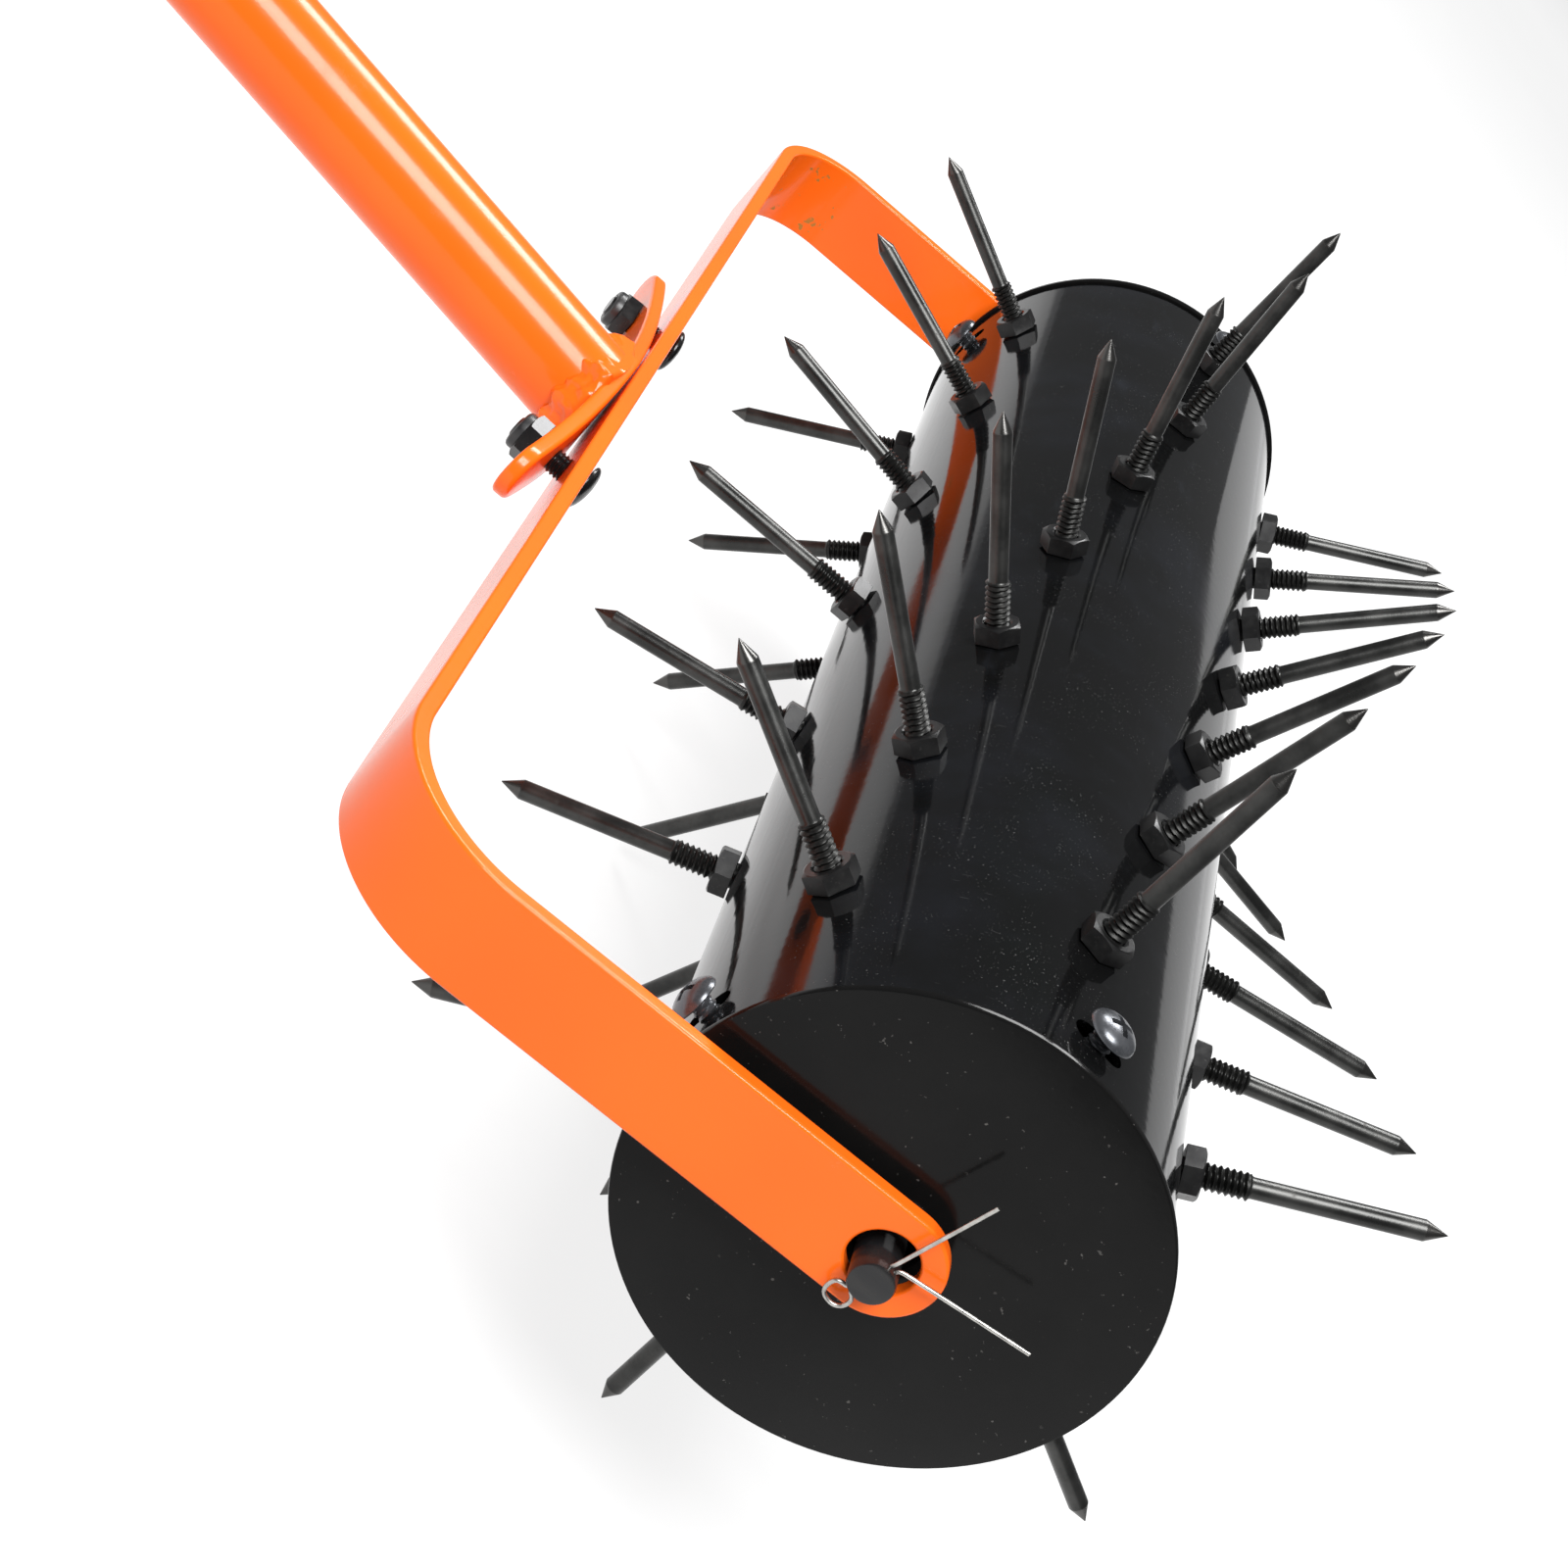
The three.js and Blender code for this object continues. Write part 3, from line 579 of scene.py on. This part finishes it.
def makeSpikes():
    stud, shaft, shoulder, tip, sides = (spike[k] for k in ("stud", "shaft", "shoulder", "tip", "sides"))
    foot, coneBase = drum["radius"] - drum["wall"] - spike["tail"], tip - spike["cone"]
    nutTop = drum["radius"] + gap + spike["nutHeight"]
    tailEdge, shoulderEdge, coneEdge = spike["tailEdge"], spike["shoulderEdge"], spike["coneEdge"]
    lower = [(stud - tailEdge[0], foot), (stud, foot + tailEdge[1]), (stud, nutTop - spike["plainEnd"])]
    upper = [(shaft + shoulderEdge[0], shoulder), (shaft, shoulder + shoulderEdge[1]),
             (shaft, coneBase - coneEdge), (shaft * spike["coneShare"], coneBase + coneEdge)]
    upper += [(r, tip - short) for r, short in spike["tipEnds"]] + [(pole, tip)]
    rings = [ringAt(x, r, sides) for r, x in lower]
    rings += threadRings(nutTop - spike["threadStart"], shoulder - spike["threadEnd"], stud,
                         spike["threadPitch"], spike["threadDepth"], sides)
    rings += [ringAt(x, r, sides) for r, x in upper]
    rod = pieceFrom("rod", skinRings(rings), smooth=spike["crease"])
    bore = stud + spike["nutPlay"]
    nutSkin = closeRings(nutRings(spike["nutFlats"], bore, drum["radius"] + gap, nutTop))
    nut = pieceFrom("nut", nutSkin, smooth=nutShape["crease"])
    step = (rollerLength - spike["nearInset"] - spike["farInset"]) / (spike["perRow"] - 1)
    for row in range(spike["rows"]):
        for place in range(spike["perRow"]):
            name = f"_{row + 1}_{place + 1}"
            angle = 360 / spike["rows"] * row + spike["twist"] * place + spike["stray"].get((row, place), 0)
            spot = rollerFrame @ turned(angle) @ shifted(y=nearEnd + spike["nearInset"] + step * place)
            spot = spot @ Matrix.Rotation(noise.random() * spike["spin"], 4, "X")
            ownRod = linked("stud" + name, rod.data.copy(), spot)
            ownNut = linked("nut" + name, nut.data.copy(), spot)
            finishPiece(ownRod, "spike" + name, "roller", spikeSteel)
            finishPiece(ownNut, None, "roller", nutSteel)
    bpy.data.objects.remove(rod)
    bpy.data.objects.remove(nut)


noise.seed_set(7)
makeSpikes()
print("spikes made")

# Yoke

bar = {"width": 24, "thickness": 3.75, "reach": 124.4, "nearBend": 29, "farBend": 22, "bendSteps": 32,
       "hole": 6.9, "holeSides": 64, "nearGap": 3.9, "farGap": 6.5, "edge": 0.9, "edgeSteps": 3,
       "edgeLimit": 40}
nearInner, farInner = nearEnd - bar["nearGap"], farEnd + bar["farGap"]
nearOuter, farOuter = nearInner - bar["thickness"], farInner + bar["thickness"]
yokeMiddle = (nearOuter + farOuter) / 2
barInner = bar["reach"] - bar["thickness"]


def makeYoke():
    # the bent bar, cut to round arm ends by its side view and then drilled
    width, thick, steps = bar["width"], bar["thickness"], bar["bendSteps"]
    nearBend, farBend = bar["nearBend"], bar["farBend"]
    near, far = (barInner - nearBend, nearInner + nearBend), (barInner - farBend, farInner - farBend)
    outline = [(-width, nearOuter)] + arc(*near, nearBend + thick, -90, 0, steps)
    outline += arc(*far, farBend + thick, 0, 90, steps) + [(-width, farOuter), (-width, farInner)]
    outline += arc(*far, farBend, 90, 0, steps) + arc(*near, nearBend, 0, -90, steps)
    outline += [(-width, nearInner)]
    yoke = pieceFrom("yokeBar", prism(outline, -width / 2, width / 2))
    past = bar["reach"] + 4 * overrun
    sideView = arc(0, 0, width / 2, -90, -270, steps) + [(past, width / 2), (past, -width / 2)]
    side = prism(sideView, nearOuter - overrun, farOuter + overrun)
    side.transform(Matrix(((1, 0, 0), (0, 0, 1), (0, 1, 0))).to_4x4())
    combine(yoke, pieceFrom("side", side), "INTERSECT")
    hole = turnedPiece([(bar["hole"], nearOuter - overrun), (bar["hole"], farOuter + overrun)],
                       bar["holeSides"])
    hole.transform(alongY)
    combine(yoke, pieceFrom("hole", hole))
    easeEdges(yoke, bar["edge"], bar["edgeSteps"], bar["edgeLimit"])
    yoke.matrix_world = yokeFrame
    finishPiece(yoke, "yoke", "frame", chippedPaint)


plate = {"thickness": 3.8, "bow": 350, "centre": 6.7, "near": 62.3, "far": 68.7, "endRadius": 7,
         "edge": 1.1, "endSteps": 14, "waistSteps": 4, "sideSteps": 20, "crease": 30}
plateBottom = bar["reach"] + gap
plateMiddle = yokeMiddle + (plate["far"] - plate["near"]) / 2


def plateHeight(y):
    # distance of the plate's upper side along the arms, y from the yoke's middle
    topRadius = plate["bow"] - plate["thickness"]
    return plateBottom + plate["bow"] - sqrt(topRadius ** 2 - (y - plate["centre"]) ** 2)


def between(a, b, steps):
    return [(a[0] + (b[0] - a[0]) * i / steps, a[1] + (b[1] - a[1]) * i / steps) for i in range(1, steps)]


def makePlate():
    # a bowed oval with rounded edges, built up from outlines that step in and out
    waist, end, edge, thick = bar["width"] / 2, plate["endRadius"], plate["edge"], plate["thickness"]
    reach = (plate["near"] + plate["far"]) / 2 - end
    turn = degrees(acos((waist - end) / reach))
    steps = [(edge * (1 - sin(radians(a))), edge * (1 - cos(radians(a)))) for a in range(0, 91, 15)]
    rings = []
    for inset, rise in steps + [(inset, thick - rise) for inset, rise in reversed(steps)]:
        near = arc(plateMiddle - reach, 0, end - inset, 180, 180 - turn, plate["endSteps"])
        side = arc(plateMiddle, 0, waist - inset, 180 - turn, turn, plate["waistSteps"])
        far = arc(plateMiddle + reach, 0, end - inset, turn, 0, plate["endSteps"])
        half = near + between(near[-1], side[0], plate["sideSteps"]) + side
        half += between(side[-1], far[0], plate["sideSteps"]) + far
        loop = half + [(y, -z) for y, z in half[-2:0:-1]]
        rings.append([(plateHeight(y - yokeMiddle) - thick + rise, y, z) for y, z in loop])
    bm = skinRings(rings, caps=False)
    bm.verts.ensure_lookup_table()
    # both faces are strips across the plate, so that they follow its bow
    count, rungs = len(rings[0]), len(half) - 1
    for start in (0, count * (len(rings) - 1)):
        for i in range(rungs):
            corners = [i, i + 1, (count - i - 1) % count, (count - i) % count]
            bm.faces.new([bm.verts[start + c] for c in dict.fromkeys(corners)])
    piece = pieceFrom("flangePlate", bm, yokeFrame, plate["crease"])
    finishPiece(piece, "flange_plate", "frame", orangePaint)


tube = {"radius": 12.5, "wall": 1.6, "length": 1140, "lean": 9.7, "foot": -4.2, "edge": 0.3, "sides": 96}
tubeLean = radians(tube["lean"])
footY = yokeMiddle + tube["foot"]
handleFrame = yokeFrame @ shifted(x=bar["reach"], y=footY) @ Matrix.Rotation(tubeLean, 4, "Y")


def makeTube():
    # the foot follows the plate's upper side
    end, edge, sides = tube["length"], tube["edge"], tube["sides"]
    outer, inner = tube["radius"], tube["radius"] - tube["wall"]

    def footRing(radius):
        points = []
        for i in range(sides):
            a = 2 * pi * i / sides
            y, z = radius * cos(a), radius * sin(a)
            x = (plateHeight(tube["foot"] + y) + gap - bar["reach"]) / cos(tubeLean) - z * tan(tubeLean)
            points.append((x, y, z))
        return points
    rings = [footRing(inner), footRing(outer), ringAt(end - edge, outer, sides),
             ringAt(end, outer - edge, sides), ringAt(end, inner, sides)]
    pipe = pieceFrom("handleTube", closeRings(rings), handleFrame)
    finishPiece(pipe, "handle_tube", "frame", orangePaint)


# swell is the slow wave of the bead's size round the tube; coarse and fine are the height,
# the scale and the climb of the lumps on it
bead = {"turns": 360, "rungs": 22, "out": 4.4, "up": 7.0, "power": 1.4, "swell": 0.3, "swellScale": 3.2,
        "swellPlace": 4, "ripple": 0.13, "coarse": (1.3, 5, 2.4), "fine": (0.7, 11, 5), "under": 1.2,
        "sink": 1.0, "inside": 0.6, "plateHalf": 9.8, "narrow": 0.9, "sag": 0.4, "least": 0.7,
        "reach": 13.1, "crease": 60}


def lumps(angle, height, scale, along):
    return height * noise.noise(Vector((scale * cos(angle), scale * sin(angle), along)))


def makeBead():
    # lumpy weld bead round the foot, drawn in where the plate ends
    rings, limit = [], bead["reach"]
    for k in range(bead["turns"]):
        a = 2 * pi * k / bead["turns"]
        y, z = tube["radius"] * cos(a), tube["radius"] * sin(a) / cos(tubeLean)
        over = max(0, abs(z) - bead["plateHalf"])
        wave = 1 + lumps(a, bead["swell"], bead["swellScale"], bead["swellPlace"])
        out, up = max(bead["least"], bead["out"] * wave - bead["narrow"] * over), bead["up"] * wave
        base = plateHeight(tube["foot"] + y) - bead["sag"] * over
        section = []
        for i in range(bead["rungs"] + 1):
            b = pi / 2 * i / bead["rungs"]
            bumps = sum(lumps(a, height, scale, climb * b)
                        for height, scale, climb in (bead["coarse"], bead["fine"]))
            lump = 1 + bumps * bead["ripple"] * sin(2 * b)
            section.append((out * lump * cos(b) ** bead["power"], up * lump * sin(b) ** bead["power"]))
        section += [(-bead["sink"], up - bead["inside"]), (-bead["sink"], -bead["under"])]
        section.append((out / 2, -bead["under"]))
        rings.append([(base + high, footY + y + wide * cos(a), max(-limit, min(limit, z + wide * sin(a))))
                      for wide, high in section])
    piece = pieceFrom("weldBead", closeRings(rings), yokeFrame, bead["crease"])
    finishPiece(piece, None, "frame", orangePaint)


# an edge is a list of steps, each in from the rim and then along the piece
bolts = {"spacing": 89, "radius": 3, "headRadius": 5.6, "headHeight": 2.4, "headFoot": 0.5,
         "headEdge": ((0.1, 0.15), (0.4, 0)), "tail": 0.5, "point": 0.7, "pitch": 1.0, "threadDepth": 0.5,
         "threadStart": 2, "threadEnd": 0.5, "sides": 32, "crease": 30, "nutFlats": 10, "nutHeight": 4,
         "nutPlay": 0.05, "nutTurns": {"near": 17, "far": -8}, "collarHeight": 2, "collarRadius": 4.6,
         "collarFoot": 0.8, "collarEdge": ((0, 0.9), (0.2, 0.35), (0.7, 0)), "collarPlay": 0.1,
         "mouth": 0.35, "mouthDepth": 0.2, "collarSides": 48}


def makeBolt(end, along):
    # square to the bowed plate, crossing the bar's outer face at this place
    radius, head, high, sides = bolts["radius"], bolts["headRadius"], bolts["headHeight"], bolts["sides"]
    deep, topRadius = gap + plate["bow"], plate["bow"] - plate["thickness"]
    side = yokeMiddle + plate["centre"] - plateMiddle - along
    lean = atan2(side, deep)
    place = yokeFrame @ shifted(x=bar["reach"], y=plateMiddle + along) @ Matrix.Rotation(lean, 4, "Z")
    under = -(bar["thickness"] + gap + head * sin(abs(lean))) / cos(lean)
    corner = bolts["nutFlats"] / 2 / cos(pi / 6)
    base = hypot(deep, side) - topRadius + gap + corner ** 2 / 2 / topRadius
    shoulder = base + bolts["nutHeight"]
    top = shoulder + bolts["collarHeight"]
    tip = top + bolts["tail"]
    domeFoot, dome = under - bolts["headFoot"], high - bolts["headFoot"]
    profile = [(head * sin(radians(a)), domeFoot - dome * cos(radians(a))) for a in range(0, 91, 6)]
    profile += [(head - inset, under - x) for inset, x in bolts["headEdge"]] + [(radius, under)]
    rings = [ringAt(x, max(r, pole), sides) for r, x in profile]
    rings += threadRings(under + bolts["threadStart"], tip - bolts["threadEnd"], radius, bolts["pitch"],
                         bolts["threadDepth"], sides)
    rings.append(ringAt(tip, radius - bolts["point"], sides))
    bolt = pieceFrom(f"plateBolt{end.title()}", skinRings(rings), place, bolts["crease"])
    finishPiece(bolt, f"plate_bolt_{end}", "frame", boltSteel)
    spin = place @ Matrix.Rotation(radians(bolts["nutTurns"][end]), 4, "X")
    nutSkin = closeRings(nutRings(bolts["nutFlats"], radius + bolts["nutPlay"], base, shoulder))
    nut = pieceFrom(f"lockNut{end.title()}", nutSkin, spin, nutShape["crease"])
    finishPiece(nut, f"lock_nut_{end}", "frame", boltSteel)
    rim, bore, foot = bolts["collarRadius"], radius + bolts["collarPlay"], shoulder - bolts["collarFoot"]
    profile = [(bore, foot), (rim, foot)] + [(rim - inset, top - x) for inset, x in bolts["collarEdge"]]
    profile += [(radius + bolts["mouth"], top), (bore, top - bolts["mouthDepth"])]
    collar = pieceFrom(f"nutCollar{end.title()}", hollowTurn(profile, bolts["collarSides"]), place)
    finishPiece(collar, None, "frame", nutNylon)


makeYoke()
makePlate()
makeTube()
makeBead()
makeBolt("near", -bolts["spacing"] / 2)
makeBolt("far", bolts["spacing"] / 2)
print("yoke and handle made")

# Axle, cotter pins and grip

axle = {"radius": 4.53, "nearReach": 12.3, "farReach": 15.15, "edge": ((0.9, 0), (0.25, 0.2), (0, 0.7)),
        "sides": 64}
axleDrop = bar["hole"] - axle["radius"] - gap
axleStart, axleEnd = nearEnd - axle["nearReach"], farEnd + axle["farReach"]


def makeAxle():
    radius, edge = axle["radius"], axle["edge"]
    profile = [(0, axleStart)] + [(radius - inset, axleStart + x) for inset, x in edge]
    profile += [(radius - inset, axleEnd - x) for inset, x in reversed(edge)] + [(0, axleEnd)]
    place = yokeFrame @ shifted(z=axleDrop) @ alongY
    rod = pieceFrom("axleRod", turnedPiece(profile, axle["sides"]), place)
    finishPiece(rod, "axle", "frame", axleSteel)


# the eye is a loop with one flat side, its points counted from the axle's rim and the pin's middle
pin = {"inset": 2.25, "wire": 0.6, "bevelShare": 0.75, "angle": -107.6, "leg": 28.1, "legSpread": 5.5,
       "bentLeg": 31, "bentSpread": -57.5, "legStart": 3, "spreadShare": 1.3, "neck": 0.5,
       "eye": ((0.9, 1.9), (1.8, 2.8), (4.2, 2.3), (5.3, 0.9), (5.1, -1.6), (3.6, -2.8), (1.6, -2.5),
               (0.8, -1.5)),
       "elbow": ((0.8, 0.5), (1.4, 1.6)), "bow": (1.6, 1.2), "roundSteps": 4, "pathSteps": 6, "crease": 60}


def wirePath(points, radius, name, place):
    # a round wire along a smooth curve that starts and ends on its points
    curve = bpy.data.curves.new(name, "CURVE")
    curve.dimensions, curve.use_fill_caps = "3D", True
    curve.bevel_depth, curve.bevel_resolution = radius * mm, pin["roundSteps"]
    line = curve.splines.new("NURBS")
    line.points.add(len(points) - 1)
    for point, spot in zip(line.points, points):
        point.co = (*(Vector(spot) * mm), 1)
    line.use_endpoint_u, line.order_u, line.resolution_u = True, 3, pin["pathSteps"]
    path = linked(name, curve)
    wire = bmesh.new()
    wire.from_mesh(path.to_mesh())
    bpy.data.objects.remove(path)
    return pieceFrom(name, wire, place, pin["crease"])


def makePin(end, along):
    rim, wire = axle["radius"], pin["wire"]
    straight, bent = radians(pin["legSpread"]), radians(pin["bentSpread"])
    tip = (pin["bentLeg"] * cos(bent), pin["bentLeg"] * sin(bent))
    path = [(pin["leg"] * cos(straight), pin["leg"] * sin(straight)),
            (rim + pin["legStart"], wire * pin["spreadShare"]), (rim, wire), (-rim, wire),
            (-rim - pin["neck"], wire)]
    path += [(-rim - x, z) for x, z in pin["eye"]]
    path += [(-rim - pin["neck"], -wire), (-rim, -wire), (rim, -wire)]
    path += [(rim + x, -wire - z) for x, z in pin["elbow"]]
    path += [((tip[0] + rim + pin["bow"][0]) / 2, tip[1] / 2 - pin["bow"][1]), tip]
    place = yokeFrame @ shifted(y=along, z=axleDrop) @ turned(pin["angle"])
    points = [(x, 0, z) for x, z in path]
    piece = wirePath(points, wire * pin["bevelShare"], f"cotterPin{end.title()}", place)
    finishPiece(piece, f"cotter_pin_{end}", "frame", zincSteel)


grip = {"radius": 15.5, "length": 125, "cap": 4, "collar": 18, "collarLength": 6, "edge": 3, "lip": 0.6,
        "mouth": 0.5, "groove": 0.9, "grooves": 5, "grooveSteps": 12, "startShare": 0.35, "wideShare": 0.3,
        "sides": 72, "crease": 40}


def makeGrip():
    end = tube["length"] + gap + grip["cap"]
    start = end - grip["length"]
    bore, radius, collar, lip = tube["radius"] + gap, grip["radius"], grip["collar"], grip["lip"]
    collarEnd, mouth = start + grip["collarLength"], grip["mouth"]
    profile = [(0, end - grip["cap"]), (bore, end - grip["cap"]), (bore, start + mouth),
               (bore + mouth, start), (collar - lip, start), (collar, start + lip),
               (collar, collarEnd - lip), (collar - mouth, collarEnd)]
    fillet = collar - radius
    profile += arc(collar, collarEnd + fillet, fillet, 240, 180, 4)
    first = start + 2 * grip["collarLength"]
    step = (grip["length"] - 4 * grip["collarLength"]) / grip["grooves"]
    steps = grip["grooveSteps"]
    for i in range(grip["grooves"]):
        for k in range(steps + 1):
            deep = grip["groove"] / 2 * (1 - cos(2 * pi * k / steps))
            share = grip["startShare"] + grip["wideShare"] * k / steps
            profile.append((radius - deep, first + step * (i + share)))
    profile += arc(radius - grip["edge"], end - grip["edge"], grip["edge"], 0, 90, 6)
    profile.append((0, end))
    sleeve = pieceFrom("gripSleeve", turnedPiece(profile, grip["sides"]), handleFrame, grip["crease"])
    finishPiece(sleeve, "handle_grip", "frame", gripRubber)


makeAxle()
makePin("near", axleStart + pin["inset"])
makePin("far", axleEnd - pin["inset"])
makeGrip()
print("axle, pins and grip made")

# Floor, light and camera

floor = {"size": 60.0, "colour": (0.17, 0.17, 0.17), "paler": (0.19, 0.19, 0.19), "rough": 0.95,
         "glow": 0.85, "bright": (1, 1, 1), "dimmer": (0.97, 0.97, 0.97), "far": (0.38, 0.38, 0.39),
         "fade": (2.2, 4.6), "brightX": 0.6, "brightY": 0.7}


def makeFloor():
    # a pale floor whose glow fades with the distance from its bright place
    bm = bmesh.new()
    bmesh.ops.create_grid(bm, x_segments=2, y_segments=2, size=floor["size"] / 2)
    ground = pieceFrom("ground", bm)
    finish = Finish("paleFloor", Roughness=floor["rough"], Specular_IOR_Level=0.1,
                    Emission_Strength=floor["glow"])
    tone = finish.grain(3, 2).ramp(0.2, 0.8)
    x, y = finish.axis("X") - floor["brightX"], finish.axis("Y") - floor["brightY"]
    away = (x ** 2 + y ** 2) ** 0.5
    near = finish.blend(tone, floor["bright"], floor["dimmer"])
    glow = finish.blend(away.ramp(*floor["fade"]), near, floor["far"])
    colour = finish.blend(tone, floor["colour"], floor["paler"])
    ground.data.materials.append(finish.wire(Base_Color=colour, Emission_Color=glow))


studio = {"colour": (0.97, 0.98, 1, 1), "strength": 0.18}


def makeWorld():
    world = bpy.data.worlds.new("studio")
    bpy.context.scene.world = world
    world.use_nodes = True
    background = world.node_tree.nodes["Background"]
    background.inputs["Color"].default_value = studio["colour"]
    background.inputs["Strength"].default_value = studio["strength"]


# the photo's camera, its place in drum radii from the near disc's middle
view = {"focal": 3230.4, "picture": 1600, "sensor": 36, "farthest": 50, "alpha": 122.368,
        "place": (3.32137, -9.27429, 5.84553), "right": (0.93337691, 0.17821301, -0.31152473),
        "down": (-0.20532377, -0.44677412, -0.87076692), "ahead": (-0.29436319, 0.87671717, -0.38041729)}


def fromPhoto(vector):
    # the photo's drum axes turned into the part's own
    return yokeFrame.to_3x3() @ (Matrix.Rotation(radians(view["alpha"]), 3, "Y") @ Vector(vector))


def makeCamera():
    lens = bpy.data.cameras.new("camera")
    lens.sensor_width = view["sensor"]
    lens.lens = view["sensor"] * view["focal"] / view["picture"]
    lens.clip_end = view["farthest"]
    right, up, back = fromPhoto(view["right"]), -fromPhoto(view["down"]), -fromPhoto(view["ahead"])
    pose = Matrix((right, up, back)).transposed().to_4x4()
    nearFace = yokeFrame @ Vector((0, nearEnd * mm, 0))
    pose.translation = nearFace + fromPhoto(view["place"]) * drum["radius"] * mm
    bpy.context.scene.camera = linked("camera", lens, pose)


# each softbox: place in metres from the drum's middle, width, depth and power
lamps = {"frontSoftbox": ((-0.35, -1.02, 1.48), 1.0, 0.80, 52),
         "backSoftbox": ((-0.30, 1.10, 1.50), 1.1, 0.60, 44),
         "edgeSoftbox": ((1.05, 1.95, 0.25), 0.9, 0.6, 1.2)}


def makeLamps():
    # softboxes whose long side runs along X, aimed at the drum's middle
    for name, (spot, width, depth, power) in lamps.items():
        lamp = bpy.data.lights.new(name, "AREA")
        lamp.shape, lamp.size, lamp.size_y, lamp.energy = "RECTANGLE", width, depth, power
        back = Vector(spot).normalized()
        side = (Vector((1, 0, 0)) - back * back.x).normalized()
        turn = Matrix((side, back.cross(side), back)).transposed().to_4x4()
        linked(name, lamp, Matrix.Translation(yokeFrame.translation + Vector(spot)) @ turn)


makeFloor()
makeWorld()
makeCamera()
makeLamps()
bpy.context.scene.view_settings.view_transform = "Standard"
print("stage made")
